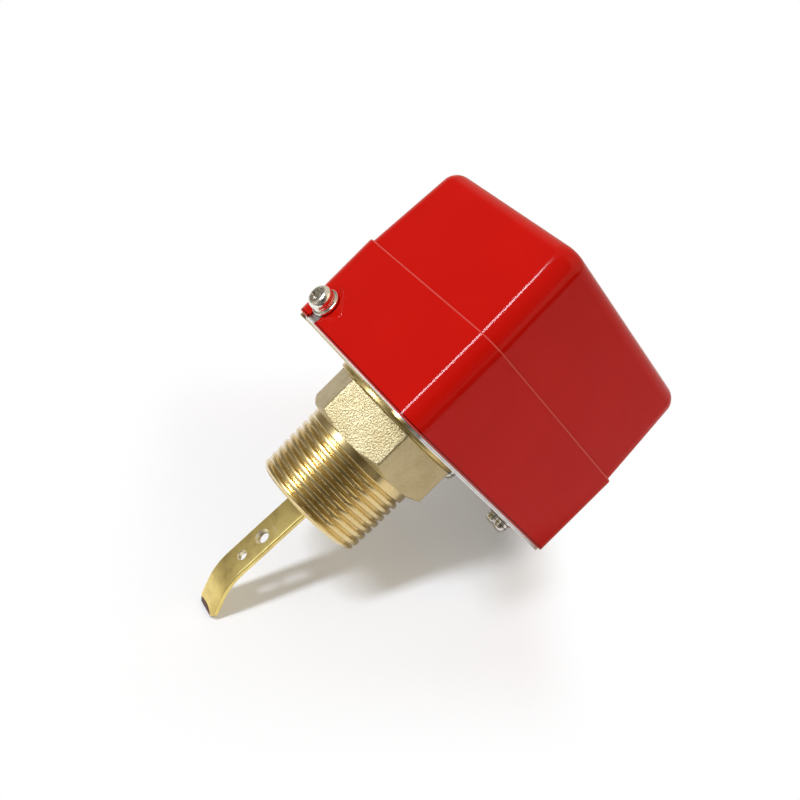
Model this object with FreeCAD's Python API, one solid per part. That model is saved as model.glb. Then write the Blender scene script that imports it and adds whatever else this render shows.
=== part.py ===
"""Paddle flow switch: a brass pipe body, a bellows-sealed paddle, a snap switch and a lift-off cover.

Millimetres. +Z runs along the pipe thread, away from the pipe. The origin is on the thread's axis,
at the shoulder where the hexagon begins. Water flows along +X and pushes the paddle's tip that way.
Every sub-part is written to parts/NODE.step as its own solid, or as a group of identical solids.
"""
import FreeCAD, Part
import math
import os

os.makedirs("parts", exist_ok=True)
V = FreeCAD.Vector
X, Y, Z = V(1, 0, 0), V(0, 1, 0), V(0, 0, 1)
ORIGIN = V(0, 0, 0)

# ---- driving dimensions ------------------------------------------------------------------------
# pipe body: one inch taper thread below a hexagon
THREAD_R, THREAD_LENGTH, THREAD_CHAMFER = 16.62, 20.7, 1.2
HEX_FLATS, HEX_HEIGHT, HEX_CHAMFER = 35.5, 12.2, 1.8
BORE_R, BELLOWS_BORE_R = 11.5, 11.0

# clamp flange with the two pivot ears, seated between the hexagon and the base plate
FLANGE_R, FLANGE_RIM, SPIGOT_R = 20.0, 1.3, 17.0
FLANGE_HOLE_R = 5.4
EAR_GAP, EAR_THICK, EAR_WIDTH = 11.0, 2.0, 7.0
FLANGE_SCREW_CIRCLE = 14.3

# base plate: flat sheet with a tapped flap bent up at each end
PLATE_BOTTOM, SHEET = 13.7, 0.8
PLATE_INSET, PLATE_CORNER_R = 0.35, 7.5
FLAP_HEIGHT, FLAP_BEND_R, RELIEF = 13.0, 1.6, 1.2
FLAP_SPAN_NEAR, FLAP_SPAN_FAR = (-23.0, 25.5), (-25.5, 0.0)
PLATE_HOLE_R = 9.2

# cover: pressed steel box with a stepped, drafted upper half
COVER_LENGTH, COVER_WIDTH, COVER_SHIFT = 75.0, 62.8, 10.4
COVER_RIM, COVER_STEP_Z, COVER_TOP = 14.6, 41.4, 70.7
COVER_WALL, COVER_STEP = 0.8, 0.6
DRAFT_X, DRAFT_Y = 1.05, 2.1
CORNER_R, TOP_EDGE_R, LIP_R, RIM_R = 6.5, 4.5, 0.5, 0.35
SLOT_WIDTH, COVER_SCREW_Y, COVER_SCREW_Z = 4.4, 21.0, 20.7
DISH_R, DISH_DEPTH = 5.6, 0.35

# paddle assembly, drawn upright and then leaned to its rest position about the pivot
PIVOT_Z, PIVOT_PIN_R, PIN_FIT = 19.0, 1.0, 0.04
LEAN = 3.4
STEM_R, STEM_TOP, TENON_R, TENON_HEAD_R, TENON_HEAD = 2.5, 23.6, 1.5, 2.2, 0.8
ARM_WIDTH, ARM_THICK = 9.0, 1.5
ARM_TOP, ARM_BEND_Z, ARM_BEND_R, ARM_BEND_ANGLE, ARM_TAIL = -1.0, -44.5, 18.3, 29.5, 6.3
BLADE_HOLE_R, BLADE_HOLE_Z, COUNTERSINK = 1.65, -34.4, 0.3
LOCATING_HOLE_R, LOCATING_HOLE_Z = 1.25, -41.6
TIP_CORNER = 1.3
RIVETS_Z, RIVET_R, RIVET_HEAD_R, RIVET_HEAD = (-3.5, -8.5), 1.0, 1.7, 0.7
FOOT_R, FOOT_BOTTOM = 4.2, -12.0

# bellows around the stem
BELLOWS_R, BELLOWS_ROOT_R, BELLOWS_WALL = 9.4, 7.4, 0.25
BELLOWS_TOP, BELLOWS_BOTTOM, BELLOWS_CUFF, BELLOWS_FOLDS = 12.2, 1.8, 1.5, 5
CAP_R, CAP_THICK = 6.6, 1.0

# rocker on the stem, and the range spring above it
ROCKER_THICK, ROCKER_WIDTH, ROCKER_TAIL, ROCKER_REACH = 1.5, 9.6, 9.0, 25.5
ROCKER_RIB, ROCKER_CORNER = 1.0, 2.5
STRIKER_X, STRIKER_TOP, STRIKER_HALF = 24.0, 30.6, 2.0
SPRING_X, SPRING_COIL_R, SPRING_WIRE_R, SPRING_TURNS, SPRING_GAP = 12.0, 2.9, 0.45, 7, 0.35
SEAT_Z, SEAT_SIZE, SEAT_THICK, SEAT_TONGUE = 41.0, 9.0, 3.0, 3.0
ADJUST_R, ADJUST_END, ADJUST_HEAD_R, ADJUST_HEAD = 2.0, 31.0, 3.8, 3.2
SEAT_TRAVEL = 2.1

# bracket: one folded sheet with foot, wall and top lug
BRACKET_SHEET = 1.2
WALL_Y, WALL_X0, WALL_X1, WALL_TOP, WALL_SHOULDER = 5.5, 6.5, 44.0, 54.0, 50.5
FOOT_X0, FOOT_Y0 = 23.0, -25.0
LUG_WIDTH, LUG_REACH = 10.0, 12.0
BRACKET_SCREWS = [(38.0, -20.0), (40.2, -14.6), (29.5, -0.2)]

# snap switch
CASE_X0, CASE_LENGTH, CASE_THICK, CASE_HEIGHT, CASE_BOTTOM = 16.8, 27.8, 10.3, 15.9, 34.4
CASE_SCREWS = [(19.7, 37.4), (41.9, 47.5)]
LEVER_PIN_X, LEVER_PIN_Z, LEVER_PIN_R = 43.3, 33.0, 0.6
LEVER_REST, LEVER_THICK, LEVER_WIDTH, LEVER_END_X, CURL_R = 10.3, 0.4, 4.0, 21.0, 1.0
BUTTON_X, BUTTON_R, BUTTON_FIT, BUTTON_GAP = 37.0, 1.3, 0.05, 0.25
TERMINAL_X = [20.5, 29.0, 37.5]
INSULATION = 0.25
NUT_FLATS, NUT_THICK = 5.5, 2.4

# screws: (shank radius, head radius, head height)
M4 = (1.95, 3.5, 2.6)
M3 = (1.45, 2.75, 2.0)
M25 = (1.2, 1.9, 1.9)
M4_WASHER = (4.0, 0.8)
M4_SPRING_WASHER = (3.5, 1.0)
M25_WASHER = (2.4, 0.8)
M25_SPRING_WASHER = (2.1, 1.1)

# cable grommet in the cover's +X wall, earth screw on the base plate
GROMMET_Y, GROMMET_Z = 14.0, 28.6
GROMMET_HOLE_R, GROMMET_LIP_R, GROMMET_BORE_R, GROMMET_LIP = 8.5, 10.6, 6.0, 2.2
EARTH_X, EARTH_Y = 38.0, 22.0

# ---- values that follow ------------------------------------------------------------------------
PLATE_TOP = PLATE_BOTTOM + SHEET
COVER_X0 = COVER_SHIFT - COVER_LENGTH / 2
COVER_X1 = COVER_SHIFT + COVER_LENGTH / 2
PIVOT = V(0, 0, PIVOT_Z)
CASE_X1 = CASE_X0 + CASE_LENGTH
CASE_TOP = CASE_BOTTOM + CASE_HEIGHT
FLAP_OUT = COVER_WALL + 0.25
WASHER_GAP = 0.05


# ---- helpers -----------------------------------------------------------------------------------
def save(name, shape):
    """Write one node, after a look that its solids are valid."""
    solids = shape.Solids
    assert solids and all(s.isValid() for s in solids), name
    out = solids[0] if len(solids) == 1 else Part.makeCompound(solids)
    out.exportStep(f"parts/{name}.step")
    print(f"{name:24s} {len(solids)} solid(s) {out.Volume:10.1f} mm3")


def box(x0, x1, y0, y1, z0, z1):
    return Part.makeBox(x1 - x0, y1 - y0, z1 - z0, V(x0, y0, z0))


def rod(radius, start, end):
    """A cylinder between two points."""
    return Part.makeCylinder(radius, (end - start).Length, start, end - start)


def tube(outer, inner, start, end):
    return rod(outer, start, end).cut(rod(inner, start, end))


def edges_where(shape, test):
    return [e for e in shape.Edges if test(e)]


def edges_along(shape, direction):
    """Straight edges parallel to a direction."""
    straight = edges_where(shape, lambda e: isinstance(e.Curve, Part.Line))
    return [e for e in straight if abs(e.tangentAt(e.FirstParameter).dot(direction)) > 1 - 1e-6]


def edges_at_z(shape, z):
    return edges_where(shape, lambda e: abs(e.BoundBox.ZMin - z) < 1e-4 and abs(e.BoundBox.ZMax - z) < 1e-4)


def rounded_block(x0, x1, y0, y1, z0, z1, radius):
    """A box with its four upright edges rounded."""
    block = box(x0, x1, y0, y1, z0, z1)
    return block.makeFillet(radius, edges_along(block, Z))


def polygon(points):
    """A flat face with straight sides."""
    return Part.Face(Part.makePolygon(points + [points[0]]))


def polygon_prism(points, depth):
    """Extrude a closed outline of points along a vector."""
    return polygon(points).extrude(depth)


def hexagon_points(flats, centre, toward, beside):
    """The six corners of a hexagon, the first one on the toward direction."""
    corner = flats / math.sqrt(3)
    turns = [math.radians(60 * i) for i in range(6)]
    return [centre + toward * (corner * math.cos(a)) + beside * (corner * math.sin(a)) for a in turns]


def revolve(points):
    """Spin an (r, z) outline about the Z axis."""
    return polygon([V(r, 0, z) for r, z in points]).revolve(ORIGIN, Z, 360)


def pan_screw(size, seat, inward, length):
    """A pan-head screw: seat is the centre under the head, inward the way its shank points."""
    shank_r, head_r, head_h = size
    head = rod(head_r, seat, seat - inward * head_h)
    crown = seat - inward * head_h
    top = edges_where(head, lambda e: (e.CenterOfMass - crown).Length < 0.1 and e.Length > head_r)
    head = head.makeFillet(head_h * 0.55, top)
    return head.fuse(rod(shank_r, seat, seat + inward * length)).removeSplitter()


def washer(size, shank, seat, outward):
    """A flat ring lying on seat, as thick as its size says, growing outward."""
    outer, thick = size
    return tube(outer, shank + 0.15, seat, seat + outward * thick)


def split_washer(size, shank, seat, outward, gap_toward):
    """A spring lock washer: a flat ring with a slanted cut."""
    outer, thick = size
    ring = tube(outer, shank + 0.15, seat, seat + outward * thick)
    side = outward.cross(gap_toward)
    corners = [(-0.8, 0.0), (-0.2, 0.0), (0.4, 1.0), (-0.2, 1.0)]
    points = [seat + side * s + outward * (t * thick) for s, t in corners]
    return ring.cut(polygon_prism(points, gap_toward * (outer + 1)))


def lean(shape):
    """Turn a paddle piece about the pivot to its rest position, its tip upstream."""
    out = shape.copy()
    out.rotate(PIVOT, Y, LEAN)
    return out


# ---- cover -------------------------------------------------------------------------------------
def cover_form(inset):
    """The cover's outer form, or its inner form when inset by the wall."""
    x0, x1 = COVER_X0 + inset, COVER_X1 - inset
    half = COVER_WIDTH / 2 - inset
    corner = CORNER_R - inset
    lip = COVER_STEP_Z - (0.0 if inset == 0 else COVER_WALL)
    lower = rounded_block(x0, x1, -half, half, COVER_RIM - (1 if inset else 0), lip, corner)
    if inset == 0:
        lower = lower.makeFillet(LIP_R, edges_at_z(lower, lip))
        lower = lower.makeFillet(RIM_R, edges_at_z(lower, COVER_RIM))
    top = COVER_TOP - inset
    start = COVER_RIM + 5
    rise = (start - COVER_STEP_Z) / (COVER_TOP - COVER_STEP_Z)
    end = (top - COVER_STEP_Z) / (COVER_TOP - COVER_STEP_Z)

    def section(share, z):
        sx, sy = COVER_STEP + DRAFT_X * share, COVER_STEP + DRAFT_Y * share
        a, b, c = x0 + sx, x1 - sx, half - sy
        return Part.makePolygon([V(a, -c, z), V(b, -c, z), V(b, c, z), V(a, c, z), V(a, -c, z)])

    upper = Part.makeLoft([section(rise, start), section(end, top)], True, True)
    upright = edges_where(upper, lambda e: e.BoundBox.ZLength > 1)
    upper = upper.makeFillet(corner, upright)
    upper = upper.makeFillet(TOP_EDGE_R - inset, edges_at_z(upper, top))
    above = box(x0 - 9, x1 + 9, -half - 9, half + 9, lip - 0.5, top + 9)
    return lower.fuse(upper.common(above)).removeSplitter()


def u_slot(x, y, inward):
    """An open-bottomed slot through one end wall for a side screw."""
    r = SLOT_WIDTH / 2
    back = V(x, y, COVER_SCREW_Z) - inward * 3
    slot = rod(r, back, back + inward * 7)
    x0, x1 = sorted((back.x, back.x + inward.x * 7))
    return slot.fuse(box(x0, x1, y - r, y + r, COVER_RIM - 1, COVER_SCREW_Z))


SIDE_SCREWS = [
    (COVER_X0, COVER_SCREW_Y, X),
    (COVER_X1, -COVER_SCREW_Y, -X),
]
cover = cover_form(0).cut(cover_form(COVER_WALL))
for wall_x, screw_y, inward in SIDE_SCREWS:
    face = V(wall_x, screw_y, COVER_SCREW_Z)
    cover = cover.cut(Part.makeCone(DISH_R, DISH_R - 0.5, DISH_DEPTH, face, inward))
    cover = cover.cut(u_slot(wall_x, screw_y, inward))
grommet_axis = V(COVER_X1, GROMMET_Y, GROMMET_Z)
cover = cover.cut(rod(GROMMET_HOLE_R, grommet_axis - X * 5, grommet_axis + X * 5))
save("cover", cover)

# the grommet's two lips hold the wall between them
inside, outside = grommet_axis - X * (COVER_WALL + GROMMET_LIP), grommet_axis + X * GROMMET_LIP
grommet = rod(GROMMET_HOLE_R, inside, outside)
grommet = grommet.fuse(rod(GROMMET_LIP_R, inside, inside + X * GROMMET_LIP))
outer_lip = rod(GROMMET_LIP_R, grommet_axis, outside)
outer_lip = outer_lip.makeFillet(1.2, edges_where(outer_lip, lambda e: e.BoundBox.XMin > outside.x - 0.1))
grommet = grommet.fuse(outer_lip).cut(rod(GROMMET_BORE_R, inside - X, outside + X))
save("cable_grommet", grommet.removeSplitter())

# ---- base plate --------------------------------------------------------------------------------
def sheet_flap(side, out_x, span):
    """A strip folded up from the plate: a quarter-turn bend and an upright flap with round corners."""
    y0, y1 = span
    top = PLATE_TOP + FLAP_HEIGHT
    axis = V(out_x + side * (FLAP_BEND_R + SHEET), y0, PLATE_TOP + FLAP_BEND_R)
    near, far = axis - Z * FLAP_BEND_R, axis - Z * (FLAP_BEND_R + SHEET)
    width = Y * (y1 - y0)
    bend = polygon([near, far, far + width, near + width]).revolve(axis, Y, side * 90)
    flap = box(*sorted((out_x, out_x + side * SHEET)), y0, y1, axis.z, top)
    ends = edges_where(flap, lambda e: e.BoundBox.ZMin > top - 0.1 and e.BoundBox.XLength > 0.5)
    return bend.fuse(flap.makeFillet(3.0, ends))


half_y = COVER_WIDTH / 2 - PLATE_INSET
plate_ends = (COVER_X0 + PLATE_INSET, COVER_X1 - PLATE_INSET)
plate = rounded_block(*plate_ends, -half_y, half_y, PLATE_BOTTOM, PLATE_TOP, PLATE_CORNER_R)
for side, wall_x, span in ((1, COVER_X0, FLAP_SPAN_NEAR), (-1, COVER_X1, FLAP_SPAN_FAR)):
    out_x = wall_x + side * FLAP_OUT
    window = sorted((wall_x - side, out_x + side * (FLAP_BEND_R + SHEET)))
    plate = plate.cut(box(*window, span[0] - RELIEF, span[1] + RELIEF, PLATE_BOTTOM - 1, PLATE_TOP + 1))
    plate = plate.fuse(sheet_flap(side, out_x, span))
for wall_x, screw_y, inward in SIDE_SCREWS:
    start = V(wall_x, screw_y, COVER_SCREW_Z)
    plate = plate.cut(rod(M4[0] + 0.05, start, start + inward * 4))
plate = plate.cut(rod(PLATE_HOLE_R, Z * 10, Z * 20))
FLANGE_SCREWS = [d * FLANGE_SCREW_CIRCLE for d in (X, Y, -X, -Y)]
for at in FLANGE_SCREWS:
    plate = plate.cut(rod(M4[0] + 0.3, at + Z * 10, at + Z * 20))
for sx, sy in BRACKET_SCREWS:
    plate = plate.cut(rod(M25[0] + 0.2, V(sx, sy, 10), V(sx, sy, 20)))
earth = V(EARTH_X, EARTH_Y, PLATE_TOP)
plate = plate.cut(rod(M4[0] + 0.05, earth - Z * 4, earth + Z * 4))
save("base_plate", plate.removeSplitter())

# ---- pipe body, flange and their screws --------------------------------------------------------
hexagon = polygon_prism(hexagon_points(HEX_FLATS, ORIGIN, X, Y), Z * HEX_HEIGHT)
# a turned cone takes the hexagon's corners down at the thread side
cone_r0, cone_r1 = HEX_FLATS / 2 - 0.2, HEX_FLATS / 2 + 3.2
turned = revolve([(0, 0), (cone_r0, 0), (cone_r1, HEX_CHAMFER), (cone_r1, HEX_HEIGHT), (0, HEX_HEIGHT)])
hexagon = hexagon.common(turned)
threaded = revolve([
    (0, 1), (THREAD_R, 1), (THREAD_R, THREAD_CHAMFER - THREAD_LENGTH),
    (THREAD_R - THREAD_CHAMFER, -THREAD_LENGTH), (0, -THREAD_LENGTH)
])
body = hexagon.fuse(threaded)
body = body.cut(rod(BORE_R, Z * (-THREAD_LENGTH - 1), -Z))
body = body.cut(rod(BELLOWS_BORE_R, Z * -2, Z * (HEX_HEIGHT + 1)))
for at in FLANGE_SCREWS:
    body = body.cut(rod(M4[0] + 0.05, at + Z * 4, at + Z * 20))
save("brass_body", body.removeSplitter())

flange = revolve([
    (FLANGE_HOLE_R, HEX_HEIGHT), (FLANGE_R, HEX_HEIGHT), (FLANGE_R, HEX_HEIGHT + FLANGE_RIM),
    (SPIGOT_R, HEX_HEIGHT + FLANGE_RIM), (SPIGOT_R, PLATE_BOTTOM), (PLATE_HOLE_R - 0.2, PLATE_BOTTOM),
    (PLATE_HOLE_R - 0.2, PLATE_TOP), (FLANGE_HOLE_R, PLATE_TOP)
])
ear_top = PIVOT_Z + EAR_WIDTH / 2
for side in (1, -1):
    y0, y1 = sorted((side * EAR_GAP / 2, side * (EAR_GAP / 2 + EAR_THICK)))
    ear = box(-EAR_WIDTH / 2, EAR_WIDTH / 2, y0, y1, PLATE_TOP - 0.5, PIVOT_Z)
    ear = ear.fuse(rod(EAR_WIDTH / 2, V(0, y0, PIVOT_Z), V(0, y1, PIVOT_Z)))
    flange = flange.fuse(ear)
flange = flange.cut(rod(PIVOT_PIN_R, PIVOT - Y * 20, PIVOT + Y * 20))
for at in FLANGE_SCREWS:
    flange = flange.cut(rod(M4[0] + 0.3, at + Z * 10, at + Z * 20))
save("pivot_flange", flange.removeSplitter())

pin_half = EAR_GAP / 2 + EAR_THICK
save("pivot_pin", rod(PIVOT_PIN_R, PIVOT - Y * pin_half, PIVOT + Y * pin_half))
save("flange_screws", Part.makeCompound([pan_screw(M4, at + Z * PLATE_TOP, -Z, 9.5) for at in FLANGE_SCREWS]))


# ---- bellows -----------------------------------------------------------------------------------
def bellows():
    """A pleated tube: the outer wall's zigzag, closed by the same zigzag set in by the wall."""
    start = BELLOWS_TOP - BELLOWS_CUFF
    pitch = (start - BELLOWS_BOTTOM) / BELLOWS_FOLDS
    outline = [(BELLOWS_ROOT_R, BELLOWS_TOP), (BELLOWS_ROOT_R, start)]
    for i in range(BELLOWS_FOLDS):
        for r, share in ((BELLOWS_R, 0.35), (BELLOWS_R, 0.5), (BELLOWS_ROOT_R, 0.85), (BELLOWS_ROOT_R, 1.0)):
            outline.append((r, start - pitch * (i + share)))
    inner = [(r - BELLOWS_WALL, z) for r, z in outline]
    return revolve(outline + inner[::-1])


save("bellows", bellows())


# ---- paddle ------------------------------------------------------------------------------------
def arm_strip():
    """The arm's side view pulled to its width: straight, one bend downstream and a straight tail."""
    bend = math.radians(ARM_BEND_ANGLE)
    r_out, r_in = ARM_BEND_R, ARM_BEND_R - ARM_THICK
    centre = V(r_out - ARM_THICK / 2, -ARM_WIDTH / 2, ARM_BEND_Z)
    tail = V(math.sin(bend), 0, -math.cos(bend)) * ARM_TAIL

    def on_bend(radius, angle):
        return centre - X * (radius * math.cos(angle)) - Z * (radius * math.sin(angle))

    outer = [on_bend(r_out, bend * share) for share in (0, 0.5, 1)]
    inner = [on_bend(r_in, bend * share) for share in (1, 0.5, 0)]
    up = Z * (ARM_TOP - ARM_BEND_Z)
    wire = Part.Wire([
        Part.makeLine(outer[0] + up, outer[0]),
        Part.Arc(*outer).toShape(),
        Part.makeLine(outer[2], outer[2] + tail),
        Part.makeLine(outer[2] + tail, inner[0] + tail),
        Part.makeLine(inner[0] + tail, inner[0]),
        Part.Arc(*inner).toShape(),
        Part.makeLine(inner[2], inner[2] + up),
        Part.makeLine(inner[2] + up, outer[0] + up)
    ])
    strip = Part.Face(wire).extrude(Y * ARM_WIDTH)
    tip = (outer[2] + inner[0]) * 0.5 + tail

    def at_tip(edge):
        middle = edge.CenterOfMass
        return math.hypot(middle.x - tip.x, middle.z - tip.z) < 0.01 and edge.Length < ARM_WIDTH - 1

    return strip.makeChamfer(TIP_CORNER, edges_where(strip, at_tip))


arm = arm_strip()
hole_face = V(-ARM_THICK / 2, 0, BLADE_HOLE_Z)
arm = arm.cut(rod(BLADE_HOLE_R, hole_face - X, hole_face + X * 5))
arm = arm.cut(Part.makeCone(BLADE_HOLE_R + COUNTERSINK, BLADE_HOLE_R, COUNTERSINK, hole_face, X))
arm = arm.cut(rod(LOCATING_HOLE_R, V(-5, 0, LOCATING_HOLE_Z), V(5, 0, LOCATING_HOLE_Z)))
for z in RIVETS_Z:
    arm = arm.cut(rod(RIVET_R, V(-5, 0, z), V(5, 0, z)))
save("paddle_arm", lean(arm))

# the stem: a slotted foot for the arm, a pin hole at the pivot and a tenon riveted over the rocker
stem = rod(STEM_R, ORIGIN, Z * STEM_TOP)
foot = rod(FOOT_R, Z * FOOT_BOTTOM, ORIGIN)
stem = stem.fuse(foot.makeFillet(0.8, edges_at_z(foot, FOOT_BOTTOM)))
tenon_top = STEM_TOP + ROCKER_THICK
stem = stem.fuse(rod(TENON_R, Z * STEM_TOP, Z * tenon_top))
stem = stem.fuse(rod(TENON_HEAD_R, Z * tenon_top, Z * (tenon_top + TENON_HEAD)))
stem = stem.cut(box(-ARM_THICK / 2, ARM_THICK / 2, -9, 9, FOOT_BOTTOM - 1, ARM_TOP))
stem = stem.cut(rod(PIVOT_PIN_R + PIN_FIT, PIVOT - Y * 9, PIVOT + Y * 9))
rivets = []
for z in RIVETS_Z:
    stem = stem.cut(rod(RIVET_R, V(-9, 0, z), V(9, 0, z)))
    rivet = rod(RIVET_R, V(-FOOT_R, 0, z), V(FOOT_R, 0, z))
    for side in (-1, 1):
        rivet = rivet.fuse(rod(RIVET_HEAD_R, V(side * FOOT_R, 0, z), V(side * (FOOT_R + RIVET_HEAD), 0, z)))
    rivets.append(rivet.removeSplitter())
save("paddle_stem", lean(stem.removeSplitter()))
save("arm_rivets", lean(Part.makeCompound(rivets)))
save("bellows_cap", lean(tube(CAP_R, STEM_R, ORIGIN, Z * CAP_THICK)))

# the rocker: a ribbed strip whose far end stands up as a rounded striker
half_w = ROCKER_WIDTH / 2
rocker = box(-ROCKER_TAIL, ROCKER_REACH, -half_w, half_w, STEM_TOP, tenon_top)
rocker = rocker.makeFillet(ROCKER_CORNER, edges_along(rocker, Z))
nose_r = ROCKER_THICK / 2
nose_z = STRIKER_TOP - nose_r
striker = box(STRIKER_X - nose_r, STRIKER_X + nose_r, -STRIKER_HALF, STRIKER_HALF, STEM_TOP, nose_z)
nose = rod(nose_r, V(STRIKER_X, -STRIKER_HALF, nose_z), V(STRIKER_X, STRIKER_HALF, nose_z))
rocker = rocker.fuse(striker.fuse(nose))
for side in (1, -1):
    y = side * half_w if side < 0 else half_w - ROCKER_RIB
    rib = [(4, STEM_TOP + 1), (21, STEM_TOP + 1), (19, STEM_TOP + 4), (6, STEM_TOP + 4)]
    rocker = rocker.fuse(polygon_prism([V(x, y, z) for x, z in rib], Y * ROCKER_RIB))
rocker = rocker.cut(rod(TENON_R, Z * 20, Z * 30))
save("rocker", lean(rocker.removeSplitter()))


# ---- range spring and its screw ----------------------------------------------------------------
def coil(radius, wire, z0, z1, turns):
    """A round wire swept along a helix about the Z axis."""
    height = z1 - z0
    path = Part.makeHelix(height / turns, height, radius)
    section = Part.Wire(Part.makeCircle(wire, V(radius, 0, 0), Y))
    spring = Part.Wire(path).makePipeShell([section], True, True)
    spring.translate(V(0, 0, z0))
    return spring


rocker_z = tenon_top - SPRING_X * math.tan(math.radians(LEAN))
spring_z = rocker_z + SPRING_WIRE_R + SPRING_GAP
spring = coil(SPRING_COIL_R, SPRING_WIRE_R, spring_z, SEAT_Z - SPRING_WIRE_R - 0.05, SPRING_TURNS)
spring.translate(V(SPRING_X, 0, 0))
save("range_spring", spring)

seat_x0, seat_x1 = SPRING_X - SEAT_SIZE / 2, SPRING_X + SEAT_SIZE / 2
tongue_x0, tongue_x1 = SPRING_X - SEAT_TONGUE / 2, SPRING_X + SEAT_TONGUE / 2
seat_top = SEAT_Z + SEAT_THICK
seat = box(seat_x0, seat_x1, -SEAT_SIZE / 2, WALL_Y - 0.4, SEAT_Z, seat_top)
seat = seat.makeFillet(1.0, edges_along(seat, Z))
seat = seat.fuse(box(tongue_x0, tongue_x1, WALL_Y - 1, WALL_Y + BRACKET_SHEET, SEAT_Z, seat_top))
seat = seat.cut(rod(ADJUST_R + 0.05, V(SPRING_X, 0, SEAT_Z - 1), V(SPRING_X, 0, seat_top + 1)))
save("spring_seat", seat.removeSplitter())

head_z = WALL_TOP + 0.3
adjust = rod(ADJUST_R, V(SPRING_X, 0, ADJUST_END), V(SPRING_X, 0, head_z))
adjust_head = rod(ADJUST_HEAD_R, V(SPRING_X, 0, head_z), V(SPRING_X, 0, head_z + ADJUST_HEAD))
adjust_head = adjust_head.makeChamfer(0.5, edges_at_z(adjust_head, head_z + ADJUST_HEAD))
driver_slot = box(SPRING_X - 9, SPRING_X + 9, -0.5, 0.5, head_z + ADJUST_HEAD - 1.3, head_z + 9)
save("adjusting_screw", adjust.fuse(adjust_head.cut(driver_slot)).removeSplitter())

# ---- bracket -----------------------------------------------------------------------------------
wall_out = WALL_Y + BRACKET_SHEET
lug_x0, lug_x1 = SPRING_X - LUG_WIDTH / 2, SPRING_X + LUG_WIDTH / 2
wall_points = [
    (WALL_X0, 30.0), (WALL_X0, WALL_TOP), (lug_x1, WALL_TOP), (lug_x1 + 3, WALL_SHOULDER),
    (WALL_X1, WALL_SHOULDER), (WALL_X1, PLATE_TOP), (FOOT_X0, PLATE_TOP), (FOOT_X0, 22.0), (14.0, 30.0)
]
bracket = polygon_prism([V(x, WALL_Y, z) for x, z in wall_points], Y * BRACKET_SHEET)
bracket = bracket.fuse(box(FOOT_X0, WALL_X1, FOOT_Y0, wall_out, PLATE_TOP, PLATE_TOP + BRACKET_SHEET))
lug = box(lug_x0, lug_x1, wall_out - LUG_REACH, wall_out, WALL_TOP - BRACKET_SHEET, WALL_TOP)
bracket = bracket.fuse(lug)
bracket = bracket.removeSplitter()
# the outside of both folds is round
folds = [e for e in edges_along(bracket, X) if abs(e.CenterOfMass.y - wall_out) < 0.01
         and min(abs(e.CenterOfMass.z - z) for z in (PLATE_TOP, WALL_TOP)) < 0.01]
bracket = bracket.makeFillet(BRACKET_SHEET - 0.1, folds)
bracket = bracket.cut(box(tongue_x0 - 0.2, tongue_x1 + 0.2, WALL_Y - 1, wall_out + 1,
                          SEAT_Z - SEAT_TRAVEL - 1.5, seat_top + SEAT_TRAVEL + 1.5))
bracket = bracket.cut(rod(ADJUST_R + 0.08, V(SPRING_X, 0, WALL_TOP - 3), V(SPRING_X, 0, WALL_TOP + 3)))
for sx, sy in BRACKET_SCREWS:
    bracket = bracket.cut(rod(M25[0] + 0.05, V(sx, sy, 10), V(sx, sy, 20)))
for cx, cz in CASE_SCREWS:
    bracket = bracket.cut(rod(M3[0] + 0.1, V(cx, 0, cz), V(cx, 20, cz)))
save("switch_bracket", bracket)

screws, springs, flats = [], [], []
for sx, sy in BRACKET_SCREWS:
    seat_at = V(sx, sy, PLATE_BOTTOM)
    flats.append(washer(M25_WASHER, M25[0], seat_at, -Z))
    seat_at = seat_at - Z * M25_WASHER[1]
    springs.append(split_washer(M25_SPRING_WASHER, M25[0], seat_at, -Z, -X))
    seat_at = seat_at - Z * M25_SPRING_WASHER[1]
    screws.append(pan_screw(M25, seat_at, Z, 5.5))
save("bracket_screws", Part.makeCompound(screws))
save("bracket_spring_washers", Part.makeCompound(springs))
save("bracket_flat_washers", Part.makeCompound(flats))

# ---- snap switch -------------------------------------------------------------------------------
half_case = CASE_THICK / 2
case = box(CASE_X0, CASE_X1, -half_case, half_case, CASE_BOTTOM, CASE_TOP)
case = case.makeFillet(0.8, edges_along(case, Y))
# two ears under the case carry the lever's pin
ear_span = LEVER_WIDTH / 2 + 0.3
for side in (1, -1):
    y0, y1 = sorted((side * ear_span, side * (ear_span + 1.4)))
    case = case.fuse(box(LEVER_PIN_X - 1.3, CASE_X1, y0, y1, LEVER_PIN_Z, CASE_BOTTOM + 1))
    case = case.fuse(rod(1.3, V(LEVER_PIN_X, y0, LEVER_PIN_Z), V(LEVER_PIN_X, y1, LEVER_PIN_Z)))
# walls between the terminals keep their wires apart
for left, right in zip(TERMINAL_X, TERMINAL_X[1:]):
    middle = (left + right) / 2
    case = case.fuse(box(middle - 0.7, middle + 0.7, -half_case, half_case, CASE_TOP - 0.5, CASE_TOP + 4.0))
case = case.cut(rod(LEVER_PIN_R, V(LEVER_PIN_X, -9, LEVER_PIN_Z), V(LEVER_PIN_X, 9, LEVER_PIN_Z)))
button_axis = V(BUTTON_X, 0, CASE_BOTTOM)
case = case.cut(rod(BUTTON_R + BUTTON_FIT, button_axis - Z * 2, button_axis + Z * 4.5))
for cx, cz in CASE_SCREWS:
    case = case.cut(rod(M3[0] + 0.1, V(cx, -20, cz), V(cx, 20, cz)))
for tx in TERMINAL_X:
    case = case.cut(rod(M3[0] + 0.05, V(tx, 0, CASE_TOP - 4), V(tx, 0, CASE_TOP + 9)))
save("switch_case", case.removeSplitter())

pin_y = ear_span + 1.4
save("lever_pin", rod(LEVER_PIN_R, V(LEVER_PIN_X, -pin_y, LEVER_PIN_Z), V(LEVER_PIN_X, pin_y, LEVER_PIN_Z)))

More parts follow.
